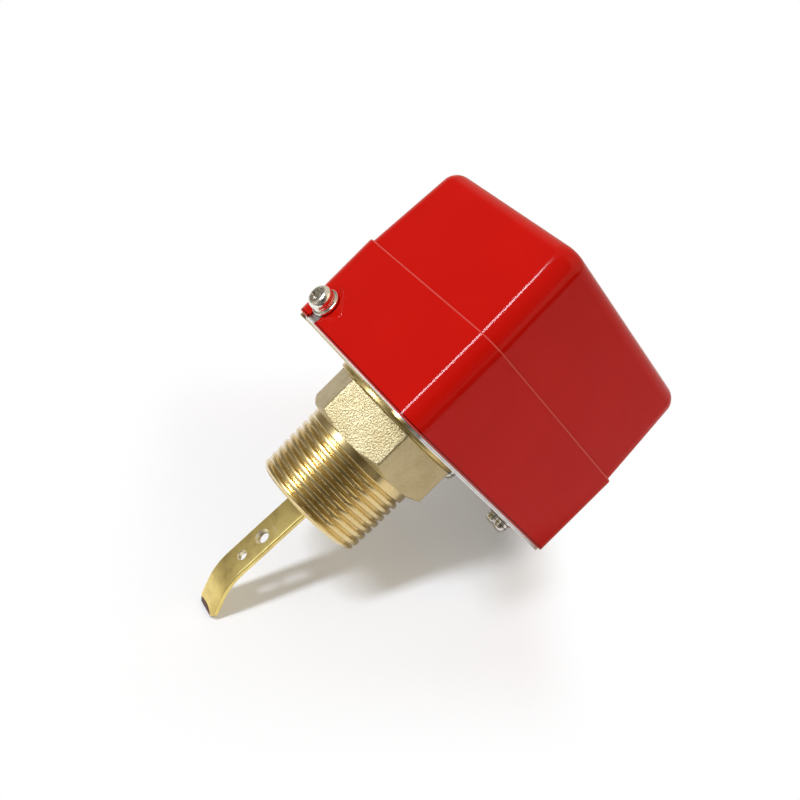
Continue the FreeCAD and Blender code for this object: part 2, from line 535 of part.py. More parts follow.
# lever: a thin leaf that curls round its pin
lever_pin = V(LEVER_PIN_X, 0, LEVER_PIN_Z)
half_lever, half_leaf = LEVER_WIDTH / 2, LEVER_THICK / 2
leaf_z = (LEVER_PIN_Z - half_leaf, LEVER_PIN_Z + half_leaf)
leaf = box(LEVER_END_X, LEVER_PIN_X - 0.9, -half_lever, half_lever, *leaf_z)
leaf = leaf.fuse(rod(CURL_R, lever_pin - Y * half_lever, lever_pin + Y * half_lever))
leaf = leaf.cut(rod(LEVER_PIN_R + 0.03, lever_pin - Y * 9, lever_pin + Y * 9)).removeSplitter()
leaf.rotate(lever_pin, Y, -LEVER_REST)
save("switch_lever", leaf)

button_drop = (LEVER_PIN_X - BUTTON_X) * math.tan(math.radians(LEVER_REST))
button_bottom = LEVER_PIN_Z - button_drop + half_leaf + BUTTON_GAP
button = rod(BUTTON_R, V(BUTTON_X, 0, button_bottom), V(BUTTON_X, 0, CASE_BOTTOM + 2.5))
button = button.makeFillet(0.6, edges_at_z(button, button_bottom))
save("switch_button", button)

sheet_y = half_case + 0.03
sheet = box(CASE_X0 - 0.5, CASE_X1, sheet_y, sheet_y + INSULATION, CASE_BOTTOM - 1, CASE_TOP - 0.2)
screws, nuts = [], []
for cx, cz in CASE_SCREWS:
    sheet = sheet.cut(rod(M3[0] + 0.2, V(cx, 0, cz), V(cx, 20, cz)))
    screws.append(pan_screw(M3, V(cx, -half_case, cz), Y, 15.5))
    nut = polygon_prism(hexagon_points(NUT_FLATS, V(cx, wall_out, cz), Z, X), Y * NUT_THICK)
    nuts.append(nut.cut(rod(M3[0] + 0.02, V(cx, 0, cz), V(cx, 20, cz))))
save("insulating_sheet", sheet)
save("switch_screws", Part.makeCompound(screws))
save("switch_nuts", Part.makeCompound(nuts))

terminals, terminal_screws = [], []
for tx in TERMINAL_X:
    tab = box(tx - 3.0, tx + 3.0, -4.0, 4.0, CASE_TOP, CASE_TOP + 0.8)
    tab = tab.makeFillet(0.8, edges_along(tab, Z))
    terminals.append(tab.cut(rod(M3[0] + 0.05, V(tx, 0, CASE_TOP - 1), V(tx, 0, CASE_TOP + 9))))
    terminal_screws.append(pan_screw(M3, V(tx, 0, CASE_TOP + 0.8), -Z, 4.5))
save("terminals", Part.makeCompound(terminals))
save("terminal_screws", Part.makeCompound(terminal_screws))

# ---- earth screw and the cover's side screws ---------------------------------------------------
save("earth_washer", washer(M4_WASHER, M4[0], earth, Z))
save("earth_screw", pan_screw(M4, earth + Z * M4_WASHER[1], -Z, 2.6))

flats, springs, screws = [], [], []
for wall_x, screw_y, inward in SIDE_SCREWS:
    outward = -inward
    seat_at = V(wall_x, screw_y, COVER_SCREW_Z) + outward * WASHER_GAP
    flats.append(washer(M4_WASHER, M4[0], seat_at, outward))
    seat_at = seat_at + outward * M4_WASHER[1]
    springs.append(split_washer(M4_SPRING_WASHER, M4[0], seat_at, outward, Z))
    seat_at = seat_at + outward * M4_SPRING_WASHER[1]
    screws.append(pan_screw(M4, seat_at, inward, 6.5))
save("cover_flat_washers", Part.makeCompound(flats))
save("cover_spring_washers", Part.makeCompound(springs))
save("cover_screws", Part.makeCompound(screws))
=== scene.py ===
# %% [markdown]
# # A paddle flow switch in Blender
# This switch screws into a water pipe by its brass thread. Water pushes the curved arm, a bellows lets
# the arm's stem through without a leak, and a snap switch under the red cover opens or shuts a circuit.
# The CAD model already says where every part is and how it moves. Blender is here for the looks: the
# pressed cover, the thread, the screws, and what each finish does to light.

import math
from contextlib import contextmanager

import bmesh
import bpy
from mathutils import Matrix, Vector


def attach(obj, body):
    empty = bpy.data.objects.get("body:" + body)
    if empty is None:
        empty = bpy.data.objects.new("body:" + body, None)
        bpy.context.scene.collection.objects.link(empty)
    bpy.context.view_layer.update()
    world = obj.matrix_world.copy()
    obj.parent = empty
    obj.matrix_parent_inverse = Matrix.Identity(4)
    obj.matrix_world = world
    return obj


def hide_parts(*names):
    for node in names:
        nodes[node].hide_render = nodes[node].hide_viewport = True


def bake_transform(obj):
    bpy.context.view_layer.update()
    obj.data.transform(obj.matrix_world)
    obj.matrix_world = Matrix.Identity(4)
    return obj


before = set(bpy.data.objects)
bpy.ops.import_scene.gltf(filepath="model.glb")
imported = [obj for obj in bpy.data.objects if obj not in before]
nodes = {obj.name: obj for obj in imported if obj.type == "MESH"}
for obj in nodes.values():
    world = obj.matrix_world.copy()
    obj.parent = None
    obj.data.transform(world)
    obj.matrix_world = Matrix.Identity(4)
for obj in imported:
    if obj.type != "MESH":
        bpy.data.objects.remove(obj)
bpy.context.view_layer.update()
print("pieces in the CAD model:", len(nodes))

# %% [markdown]
# ## The camera
# The switch lies on a table, and the camera looks down on it. In the CAD frame the pipe thread points
# straight down, so here the camera gets the roll instead of the switch: it is turned about its own line
# of sight, and the floor is tilted to suit. Turning the switch would pull it out of the CAD's place.

# %% Set up the camera
MM = 0.001
scene = bpy.context.scene
scene.view_settings.view_transform = "Standard"

CAMERA_AT, LENS = (-0.20132, -0.20348, 0.02061), 48.77
HEADING, DIP, ROLL = math.radians(45.845), math.radians(0.819), math.radians(45.156)


def new_object(name, data):
    made = bpy.data.objects.new(name, data)
    scene.collection.objects.link(made)
    return made


camera = new_object("camera", bpy.data.cameras.new("camera"))
camera.data.lens = LENS
camera.data.clip_start = 0.01
turn = Matrix.Rotation(HEADING - math.pi / 2, 4, "Z") @ Matrix.Rotation(math.pi / 2 - DIP, 4, "X")
camera.matrix_world = Matrix.Translation(CAMERA_AT) @ turn @ Matrix.Rotation(ROLL, 4, "Z")
scene.camera = camera
print("camera distance from the thread's axis:", round(camera.location.xy.length, 3), "m")

# %% [markdown]
# ## The table
# The switch rests on three points: the tip of the arm, the head of one side screw and the lower corner of
# the cover. A plane through them is the table top, so its tilt isn't a guess. A wide disc of pale board
# will do. It is seen only from above, so a camera that goes below the table looks through it.

# %% Find the table's tilt
REST_POINTS = [Vector((1.0, 0.0, -59.0)), Vector((51.8, -21.0, 17.2)), Vector((47.9, 31.4, 14.6))]
tip, screw_head, rim_corner = REST_POINTS
up = (screw_head - tip).cross(rim_corner - tip).normalized()
if up.x > 0:
    up = -up
over = Vector((10, 0, 6))
table_middle = over * MM - up * ((over - tip).dot(up) * MM)
line_of_sight = camera.matrix_world.to_3x3() @ Vector((0, 0, -1))
toward_camera = -(line_of_sight - up * line_of_sight.dot(up)).normalized()
to_the_right = up.cross(toward_camera)
print("the table's upward direction:", [round(v, 3) for v in up])


def on_table(right, near, height):
    """A place given from the middle of the table, in metres."""
    return table_middle + to_the_right * right + toward_camera * near + up * height


# %% [markdown]
# ## Writing materials as sums
# A material in Blender is a web of nodes. Written out one node at a time it is long and hard to read, so
# one small class stands for "the value on this socket". Adding or multiplying two of them adds the Math
# node that does it. Every other node comes from its `add` method. Colours go through Mix nodes,
# because a Math node would turn them grey.

# %% A value on its way through a material
def socket_of(sockets, key):
    """A socket by its number, or the first one in use that has that name."""
    if isinstance(key, int):
        return sockets[key]
    return next(s for s in sockets if s.enabled and s.name == key)


class Value:
    def __init__(self, tree, socket=None):
        self.tree = tree
        self.socket = socket

    def feed(self, socket, value):
        """Links a value or sets a plain one. A colour's fourth number, its opacity, is always 1."""
        if isinstance(value, Value):
            self.tree.links.new(value.socket, socket)
        else:
            socket.default_value = (*value, 1) if socket.type == "RGBA" else value

    def add(self, kind, settings=None, inputs=None, output=None):
        """Adds one node: first its settings, then what its sockets hold, and gives back one output."""
        node = self.tree.nodes.new("ShaderNode" + kind)
        for name, value in (settings or {}).items():
            setattr(node, name, value)
        for name, value in (inputs or {}).items():
            self.feed(socket_of(node.inputs, name), value)
        in_use = [s for s in node.outputs if s.enabled]
        if not in_use:
            return None
        return Value(self.tree, in_use[0] if output is None else socket_of(node.outputs, output))

    def worked_out(self, operation, first, second):
        return self.add("Math", {"operation": operation}, {0: first, 1: second})

    def __add__(self, other):
        return self.worked_out("ADD", self, other)

    def __sub__(self, other):
        return self.worked_out("SUBTRACT", self, other)

    def __rsub__(self, other):
        return self.worked_out("SUBTRACT", other, self)

    def __mul__(self, other):
        return self.worked_out("MULTIPLY", self, other)

    __radd__ = __add__

    def clamped(self):
        return self.add("Clamp", None, {"Value": self})

    def step(self, low, high):
        """Goes smoothly from 0 at low to 1 at high."""
        edges = {"From Min": low, "From Max": high}
        return self.add("MapRange", {"interpolation_type": "SMOOTHSTEP"}, {"Value": self, **edges})

    def band(self, rise, fall):
        """1 between two soft edges and 0 outside them. Each edge is given by its low and its high end."""
        return self.step(*rise) * (1 - self.step(*fall))

    def blend(self, first, second):
        """A colour that goes from first to second as this value goes from 0 to 1."""
        colours = {"Factor": self, "A": first, "B": second}
        return self.add("Mix", {"data_type": "RGBA"}, colours)


print("material maths ready")

# %% [markdown]
# ## Textures that every finish shares
# Most finishes are built from the same three things: soft noise for uneven colour, fine noise for grain,
# and noise pulled out long for scratches and tool marks. All of them read the CAD frame's own
# coordinates in metres, so a scale of 1000 gives marks about a millimetre wide.

# %% Noise, scratches and bumps
def new_finish(name):
    """An empty material, the value that its sums start from, and the place on the piece."""
    material = bpy.data.materials.new(name)
    material.use_nodes = True
    material.node_tree.nodes.clear()
    start = Value(material.node_tree)
    return material, start, start.add("TexCoord", output="Object")


def stretched(place, x, y, z):
    """The same place with each axis scaled, so that noise on it comes out long or short."""
    return place.add("VectorMath", {"operation": "MULTIPLY"}, {0: place, 1: (x, y, z)})


def along(place, x, y, z):
    """How far a place lies in one direction."""
    return place.add("VectorMath", {"operation": "DOT_PRODUCT"}, {0: place, 1: (x, y, z)}, "Value")


def noise(place, scale, detail=2.0, roughness=0.5):
    inputs = {"Vector": place, "Scale": scale, "Detail": detail, "Roughness": roughness}
    return place.add("TexNoise", None, inputs)


def bump(height, distance, under=None):
    """Bends the surface as if height were real, by up to distance in metres."""
    inputs = {"Height": height, "Distance": distance, "Strength": 1.0}
    if under is not None:
        inputs["Normal"] = under
    return height.add("Bump", None, inputs)


def finish_with(start, sockets):
    """Ends a material with its shader."""
    shader = start.add("BsdfPrincipled", None, sockets)
    start.add("OutputMaterial", None, {"Surface": shader})


print("textures ready")

# %% [markdown]
# ## Red enamel
# The cover is sheet steel with a thick glossy stove enamel. It could be a plain red with a low roughness,
# but real enamel is never quite flat: it has a faint long ripple. A slow, shallow bump gives the ripple.
# Thin bands of colour at two heights are painted light: a painted highlight along the lip of the step,
# and along the bottom rim a painted highlight under a band of painted shade.
# The gloss stays low in strength and sharp in shape, so that the red keeps its depth beside a highlight.

# %% Make the red enamel
material, start, place = new_finish("red_enamel")
ripple = noise(place, 60)
grain = noise(place, 2200)
cloud = noise(place, 45, 3.0)
height = along(place, 0, 0, 1)
# Painted light: a painted highlight along the lip of the step, and at the bottom rim a painted highlight
# under a band of painted shade.
RIM_EDGE = (0.01488, 0.01496)
painted_lip_highlight = height.band((0.04088, 0.04108), (0.04132, 0.04142)) * 0.35
painted_rim_highlight = (1 - height.step(*RIM_EDGE)) * 0.5
shade = height.band(RIM_EDGE, (0.01528, 0.01545)) * 0.75
red = cloud.step(0.35, 0.7).blend((0.540, 0.0060, 0.0030), (0.565, 0.0072, 0.0038))
finish_with(start, {
    "Base Color": (painted_lip_highlight + painted_rim_highlight).blend(shade.blend(red, (0.10, 0.003, 0.003)), (0.80, 0.20, 0.17)),
    "Roughness": 0.06 + noise(place, 300, 3.0) * 0.05,
    "Specular IOR Level": 0.13,
    "Normal": bump(grain, 0.0000008, bump(ripple, 0.000012)),
})
red_enamel = material
print("made", material.name)

# %% [markdown]
# ## Brass
# Three kinds of brass show outside. The hexagon is sand cast and only tumbled, so it is pale and pitted.
# The thread is turned, bright and smooth, with a film of cutting oil left on it. The arm and the clamp
# flange are cut from rolled sheet, more golden, with long faint marks from the rolls and soft stains.
# The bellows is a browner bronze. One function makes them all from a few choices, and a second one adds
# what handling did to the arm, and a painted highlight round its holes, because marks at real places tell
# more than marks at random.

# %% Make the brasses
PIT_DEPTH, MARK_DEPTH = 0.00018, 0.00001


def brass(name, pale, dark, roughness, cast=0.0, rolling=0.0, stain=0.0, oil=0.0, marked=None):
    """Brass with uneven colour, sand-cast grain or rolling marks, and a little brown stain."""
    material, start, place = new_finish(name)
    cloud = noise(place, 120, 3.0, 0.6)
    sand = noise(place, 2150, 2.0, 0.7)
    marks = noise(stretched(place, 2600, 2600, 90), 1.0)
    tone = cloud.step(0.3, 0.75) * 0.5
    tone += (sand.step(0.40, 0.60) - 0.5) * cast * 0.25
    tone += (marks - 0.5) * rolling
    base = tone.clamped().blend(pale, dark)
    height = sand
    if stain:
        patches = noise(place, 230, 4.0, 0.65).step(0.40, 0.78) * stain
        base = patches.blend(base, (0.36, 0.26, 0.085))
    if marked:
        base, height = marked(place, base, sand)
    uneven = roughness + (cloud - 0.5) * 0.12 + (marks - 0.5) * rolling * 0.3
    lines = bump(marks, MARK_DEPTH * max(rolling, 0.02))
    finish_with(start, {
        "Base Color": base,
        "Metallic": 1.0,
        "Roughness": uneven.clamped(),
        "Coat Weight": oil,
        "Coat Roughness": 0.2,
        "Normal": bump(height, PIT_DEPTH * max(cast, 0.001), lines),
    })
    return material


def worn_and_highlit_arm(place, base, height):
    """What handling did to the arm, a dab of brown at the tip and a few pressed dents, and a painted
    highlight round the hole rims.
    """
    def ring_at(y, z, radius, width, squeeze=1.0):
        from_centre = place.add("VectorMath", {"operation": "SUBTRACT"}, {0: place, 1: (0, y * MM, z * MM)})
        flat = stretched(from_centre, 0, 1, squeeze)
        far = flat.add("VectorMath", {"operation": "LENGTH"}, {0: flat}, "Value")
        return 1 - far.step((radius - width / 2) * MM, (radius + width / 2) * MM)

    # painted highlight on the chamfered rims of the two holes
    painted_hole_highlight = (ring_at(0, -34.31, 2.2, 0.25) + ring_at(0, -41.49, 1.5, 0.2)).clamped()
    base = painted_hole_highlight.blend(base, (0.92, 0.84, 0.62))
    ragged = noise(place, 1400, 3.0, 0.6)
    brown = (ring_at(0.9, -59.3, 4.3, 1.2, 2.6) * (ragged + 0.4)).step(0.40, 0.75)
    base = brown.blend(base, (0.13, 0.065, 0.045))
    dents = ring_at(0.5, -37.6, 0.5, 0.3) + ring_at(-0.6, -37.9, 0.4, 0.3) + ring_at(0.2, -38.6, 0.4, 0.3)
    scratch = ring_at(-0.9, -30.4, 1.3, 0.5, 7.0)
    return (scratch * 0.5).blend(base, (0.95, 0.90, 0.70)), height - dents * 100.0


cast_brass = brass("cast_brass", (0.66, 0.56, 0.33), (0.44, 0.34, 0.15), 0.44,
                   cast=1.0, rolling=0.05)
turned_brass = brass("turned_brass", (0.80, 0.63, 0.29), (0.66, 0.48, 0.18), 0.27,
                     rolling=0.05, oil=1.0)
sheet_brass = brass("sheet_brass", (0.74, 0.58, 0.25), (0.50, 0.37, 0.13), 0.36,
                    rolling=0.3, stain=0.6)
arm_brass = brass("arm_brass", (0.96, 0.77, 0.29), (0.74, 0.57, 0.18), 0.40,
                  rolling=0.2, stain=0.5, marked=worn_and_highlit_arm)
bronze = brass("bronze", (0.66, 0.45, 0.22), (0.48, 0.29, 0.11), 0.30,
               rolling=0.10, stain=0.2)
print("made 5 brasses")

# %% [markdown]
# ## Plated and plain steel
# The small screws are nickel plated, the plate and the bracket are zinc plated, and the springs and pins
# are bare spring steel. They differ in tint and in how sharp their highlights are, so again one function
# makes them, with fine grain in the roughness so that no highlight is perfectly clean. Two of them carry
# marks at real places: the plate has the line that a shear leaves along a cut edge, and the screws under
# the plate have painted shade where one washer meets the next. Those screws' nickel is also painted
# paler than the other nickel, to make up for the shade under the plate.

# %% Make the steels
def plated(name, light, dark, roughness, grain, marked=None):
    material, start, place = new_finish(name)
    cloud = noise(place, 220, 3.0)
    fine = noise(place, 3200)
    base = cloud.step(0.35, 0.7).blend(light, dark)
    finish_with(start, {
        "Base Color": marked(place, base) if marked else base,
        "Metallic": 1.0,
        "Roughness": roughness + (fine - 0.5) * grain,
        "Normal": bump(fine, 0.000006 * grain),
    })
    return material


def sheared_edge(place, base):
    """The plate's cut edge has a dark line where the shear let go, and yellow passivation at the bend."""
    height, out = along(place, 0, 0, 1), along(place, -1, 0, 0)
    yellow = out.step(0.0235, 0.0250) * (1 - height.step(0.01415, 0.01430))
    line = height.band((0.01398, 0.01406), (0.01412, 0.01420)) * 0.7
    return yellow.blend(line.blend(base, (0.10, 0.08, 0.07)), (0.60, 0.46, 0.18))


def painted_washer_shade(place, base):
    """Painted shade where each washer under the plate meets its neighbour."""
    height = along(place, 0, 0, 1)
    # painted shade in the joins between the washers
    washer_shade_bands = height.band((0.01268, 0.01280), (0.01296, 0.01306))
    washer_shade_bands += height.band((0.01160, 0.01172), (0.01186, 0.01196))
    return washer_shade_bands.blend(base, (0.10, 0.085, 0.06))


nickel = plated("nickel", (0.92, 0.90, 0.85), (0.80, 0.78, 0.73), 0.19, 0.10)
zinc = plated("zinc", (0.72, 0.73, 0.74), (0.58, 0.60, 0.62), 0.32, 0.20)
base_zinc = plated("base_zinc", (0.86, 0.86, 0.86), (0.76, 0.77, 0.78), 0.34, 0.20, sheared_edge)
# Paler than the nickel above: painted brightening for screws that sit in the plate's shade, with painted
# shade between their washers.
foot_nickel_painted_light = plated("foot_nickel_painted_light", (0.98, 0.97, 0.93), (0.88, 0.86, 0.82), 0.24, 0.10, painted_washer_shade)
spring_steel = plated("spring_steel", (0.50, 0.49, 0.48), (0.38, 0.37, 0.36), 0.28, 0.15)
print("made 5 steels")

# %% [markdown]
# ## Plastics and rubber
# The switch case is black phenolic moulding, its button a paler nylon, the board behind it pressed
# insulation, and the cable grommet soft rubber. Each gets its own speckle and sheen, because a flat
# black would look like a hole.

# %% Make the plastics
def moulded(name, light, dark, roughness, scale, depth):
    material, start, place = new_finish(name)
    speckle = noise(place, scale, 4.0, 0.6)
    finish_with(start, {
        "Base Color": speckle.step(0.35, 0.7).blend(light, dark),
        "Roughness": (roughness + (speckle - 0.5) * 0.25).clamped(),
        "Normal": bump(speckle, depth),
    })
    return material


phenolic = moulded("phenolic", (0.030, 0.028, 0.027), (0.016, 0.015, 0.014), 0.38, 1500, 0.00001)
nylon = moulded("nylon", (0.55, 0.10, 0.06), (0.45, 0.07, 0.04), 0.40, 900, 0.000005)
pressboard = moulded("pressboard", (0.30, 0.17, 0.07), (0.20, 0.11, 0.045), 0.65, 2200, 0.00002)
rubber = moulded("rubber", (0.028, 0.028, 0.029), (0.018, 0.018, 0.019), 0.62, 1800, 0.00002)
print("made 4 mouldings")

# %% [markdown]
# ## Dress the parts that keep their CAD shape
# Many inner parts are right as the CAD has them and only need a finish. Assigning to the object's
# material slot changes nothing in its shape. A part that isn't in the list is nickel plated.

# %% Give the CAD parts their finishes
FINISHES = {
    "terminals": sheet_brass, "paddle_stem": turned_brass, "spring_seat": turned_brass,
    "arm_rivets": bronze, "bellows_cap": bronze, "base_plate": base_zinc,
    "switch_bracket": zinc, "rocker": zinc, "pivot_pin": spring_steel,
    "lever_pin": spring_steel, "switch_lever": spring_steel, "switch_case": phenolic,
    "switch_button": nylon, "insulating_sheet": pressboard,
}
for name, node in nodes.items():
    node.material_slots[0].material = FINISHES.get(name, nickel)
print("dressed", len(nodes), "parts")

# %% [markdown]
# ## Tools for building shapes
# Almost every part here is either turned or pressed, so two ways of making a mesh go a long way. A turned
# part is an outline spun round a line. A pressed or cut part is a row of loops with a skin over them. Both
# could be done by hand in edit mode, but written as code the sizes stay exact and can be read.

# %% Skins, turned parts and rounded outlines
def skin(loops, wrap=False):
    """Points and faces of a skin over loops of equal length. wrap joins the last loop to the first."""
    count = len(loops[0])
    points = [point for loop in loops for point in loop]
    faces = []
    for k in range(len(loops) - (0 if wrap else 1)):
        a, b = k * count, (k + 1) % len(loops) * count
        faces += [(a + i, a + (i + 1) % count, b + (i + 1) % count, b + i) for i in range(count)]
    return points, faces


def closed_skin(loops):
    """A skin whose two ends are shut by flat faces."""
    points, faces = skin(loops)
    count = len(loops[0])
    last = len(points) - count
    return points, faces + [tuple(range(count)), tuple(last + i for i in range(count))]


def turned(outline, around):
    """Spins a closed (radius, height) outline about the Z axis."""
    turns = [math.tau * k / around for k in range(around)]
    return skin([[(r * math.cos(a), r * math.sin(a), z) for r, z in outline] for a in turns], wrap=True)


def evenly(start, end, steps):
    """Numbers from start to end, both of them included, with equal steps between."""
    return [start + (end - start) * k / steps for k in range(steps + 1)]


def smooth(share):
    """0 below 0 and 1 above 1, and a gentle slope between them."""
    share = max(0.0, min(1.0, share))
    return share * share * (3 - 2 * share)


def arc(centre, radius, start, end, steps):
    """Points on a circle's arc, the angles in degrees."""
    angles = [math.radians(a) for a in evenly(start, end, steps)]
    return [(centre[0] + radius * math.cos(a), centre[1] + radius * math.sin(a)) for a in angles]


def circle(centre, radius, around):
    return arc(centre, radius, 0, 360 - 360 / around, around - 1)


def eased(outline, radius, steps=3):
    """A closed outline with each corner cut back and rounded. A radius may be given for each corner."""
    radii = radius if isinstance(radius, list) else [radius] * len(outline)
    out = []
    for i, corner in enumerate(outline):
        before, after = Vector(outline[i - 1]), Vector(outline[(i + 1) % len(outline)])
        corner = Vector(corner)
        back, on = (before - corner).normalized(), (after - corner).normalized()
        half = back.angle(on) / 2
        reach = radii[i] / math.tan(half)
        if half > 1.5:
            # so nearly straight that there is nothing to round
            out.append(tuple(corner))
            continue
        centre = corner + (back + on).normalized() * (radii[i] / math.sin(half))
        first, last = corner + back * reach - centre, corner + on * reach - centre
        for share in evenly(0, 1, steps):
            out.append(tuple(centre + (first * (1 - share) + last * share).normalized() * radii[i]))
    return out


print("skins ready")

# %% [markdown]
# ## From points to finished pieces
# The points above are in millimetres. One function turns them into an object in metres whose faces point
# outward. Another smooths the shading except over sharp edges, gives the piece its finish, and lets it ride
# on its CAD body; a piece meant to bend is instead only fixed in place, on no body. Holes are cut with a
# Boolean modifier, and the result is a plain mesh.

# %% Make, cut and set down pieces
SAME_POINT, SLIVER = 1e-8, 2e-7


@contextmanager
def edited(mesh):
    """Opens a mesh for editing, and writes it back afterwards."""
    bm = bmesh.new()
    bm.from_mesh(mesh)
    yield bm
    bm.to_mesh(mesh)
    bm.free()


def raw_piece(name, shape):
    points, faces = shape
    mesh = bpy.data.meshes.new(name)
    mesh.from_pydata([Vector(p) * MM for p in points], [], faces)
    with edited(mesh) as bm:
        bmesh.ops.remove_doubles(bm, verts=bm.verts, dist=SAME_POINT)
        bmesh.ops.recalc_face_normals(bm, faces=bm.faces)
    return new_object(name, mesh)


def carve(piece, *cutters):
    """Cuts each cutter's shape out of the piece and throws the cutters away."""
    for cutter in cutters:
        cut = piece.modifiers.new("cut", "BOOLEAN")
        cut.operation, cut.solver, cut.object = "DIFFERENCE", "EXACT", cutter
        done = bpy.data.meshes.new_from_object(piece.evaluated_get(bpy.context.evaluated_depsgraph_get()))
        piece.modifiers.clear()
        with edited(done) as bm:
            bmesh.ops.remove_doubles(bm, verts=bm.verts, dist=SLIVER)
            bmesh.ops.dissolve_degenerate(bm, edges=bm.edges, dist=SLIVER)
        piece.data = done
        bpy.data.objects.remove(cutter)
    return piece


def join(piece, *others):
    """Takes the others' faces into the piece and throws the others away."""
    with edited(piece.data) as bm:
        for other in others:
            bm.from_mesh(other.data)
    for other in others:
        bpy.data.objects.remove(other)
    return piece


def stamp(name, template, places):
    """Copies of one small piece, set down at every place, as a single object."""
    mesh = bpy.data.meshes.new(name)
    with edited(mesh) as bm:
        for spot in places:
            before = len(bm.verts)
            bm.from_mesh(template.data)
            bm.verts.ensure_lookup_table()
            bmesh.ops.transform(bm, matrix=spot, verts=bm.verts[before:])
    return new_object(name, mesh)


def pose(origin, outward, twist=0.0):
    """The place of a piece whose own Z axis should point outward. origin is in millimetres."""
    turn = Vector(outward).to_track_quat("Z", "Y").to_matrix().to_4x4()
    return Matrix.Translation(Vector(origin) * MM) @ turn @ Matrix.Rotation(math.radians(twist), 4, "Z")


def finish_piece(piece, finish, body, node, sharp=32, even=False, bends=None):
    """Lets a piece stand for a CAD node. bends holds a second body and the two ends of the bend, which are
    not used: a piece given bends is fixed in place and rides on no body.
    """
    piece.data.materials.clear()
    piece.data.materials.append(finish)
    piece.data.shade_smooth()
    piece.data.set_sharp_from_angle(angle=math.radians(sharp))
    if even:
        # large flat faces keep their own direction, and only the roundings between them shade
        weigh = piece.modifiers.new("even", "WEIGHTED_NORMAL")
        weigh.keep_sharp, weigh.weight = True, 60
    if bends:
        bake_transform(piece)
    else:
        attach(piece, body)
    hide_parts(node)
    print(piece.name, "has", len(piece.data.vertices), "points and rides on", body)


# %% [markdown]
# ## The cover
# The real cover is drawn from one sheet of steel: a rounded box whose upper half is stepped in by a sheet's
# thickness and leans in a little, so that it leaves the press tool. A bevelled cube would get the corner
# radii wrong where the walls lean, so it is built from loops instead: up the inside, round the rim, up the
# outside, over the step's lip and over the top edge. The slots and the grommet hole are cut afterwards.

# %% Shape the cover
LENGTH_FROM, LENGTH_TO, HALF_WIDTH = -27.1, 47.9, 31.4
RIM, STEP_Z, TOP, WALL, STEP_IN = 14.6, 41.4, 70.7, 0.8, 0.6
CORNER_R, TOP_EDGE_R, LIP_R, RIM_R = 6.5, 4.5, 0.5, 0.35
LEAN_X, LEAN_Y = 1.05, 2.1


def cover_loop(z, in_x, in_y, corner):
    """A rectangle with rounded corners, at one height, some way in from the cover's widest outline."""
    right, left, back = LENGTH_TO - in_x - corner, LENGTH_FROM + in_x + corner, HALF_WIDTH - in_y - corner
    turns = [(right, back, 0), (left, back, 90), (left, -back, 180), (right, -back, 270)]
    return [(x, y, z) for cx, cy, a in turns for x, y in arc((cx, cy), corner, a, a + 90, 14)]


def leaning_loop(z, wall, rounding=0.0):
    """A loop on the upper half at one height. rounding is how far the top edge has turned it in."""
    share = (z - STEP_Z) / (TOP - STEP_Z)
    inset = wall + STEP_IN + rounding
    return cover_loop(z, inset + LEAN_X * share, inset + LEAN_Y * share, CORNER_R - wall - rounding)


def upper_half(wall):
    """Loops from just above the step to the flat top, outside (wall 0) or inside."""
    radius = TOP_EDGE_R - wall
    edge_z = TOP - wall - radius
    loops = [leaning_loop(STEP_Z + (edge_z - STEP_Z) * share, wall) for share in (0, 0.04, 0.5, 0.96)]
    for a in evenly(math.radians(3), math.radians(90), 12):
        loops.append(leaning_loop(edge_z + radius * math.sin(a), wall, radius * (1 - math.cos(a))))
    return loops


rim_arc = arc((RIM_R, RIM + RIM_R), RIM_R, 270, 180, 4)
lip_arc = arc((LIP_R, STEP_Z - LIP_R), LIP_R, 180, 90, 5)
outside = [cover_loop(z, inset, inset, CORNER_R - inset) for inset, z in rim_arc]
outside += [cover_loop(RIM + 2, 0, 0, CORNER_R), cover_loop(STEP_Z - 2, 0, 0, CORNER_R)]
outside += [cover_loop(z, inset, inset, CORNER_R - inset) for inset, z in lip_arc]
outside += upper_half(0)
inside = upper_half(WALL)[::-1]
inside += [cover_loop(z, WALL, WALL, CORNER_R - WALL)
           for z in (STEP_Z - WALL, STEP_Z - 2, RIM + 2, RIM + 0.1)]
inside += [cover_loop(RIM, WALL - 0.1, WALL - 0.1, CORNER_R - WALL + 0.1)]
cover = raw_piece("red_cover", closed_skin(inside + outside))
print("cover loops:", len(inside) + len(outside))

# %% [markdown]
# The slots are open at the bottom, so the cover lifts off when its two screws are loosened. Round each slot
# the sheet is pressed into a shallow dish, where the washer sits.

# %% Cut the screw slots, their dishes and the grommet hole
SLOT_HALF, SCREW_Y, SCREW_Z = 2.2, 21.0, 20.7
SIDE_SCREWS = [(LENGTH_FROM, SCREW_Y, -1), (LENGTH_TO, -SCREW_Y, 1)]
DISH = [(0.01, 0.3), (5.9, 0.3), (5.75, 0.05), (5.55, -0.08),
        (5.3, -0.25), (5.0, -0.34), (4.6, -0.35), (0.01, -0.35)]
GROMMET_Y, GROMMET_Z, GROMMET_HOLE_R = 14.0, 28.6, 8.5


def wall_cutter(x, reach, outline):
    """A straight cutter along X, through the wall at x, with a (y, z) outline."""
    loops = [[(x + d, y, z) for y, z in outline] for d in (-reach, reach)]
    return raw_piece("wall_cutter", closed_skin(loops))


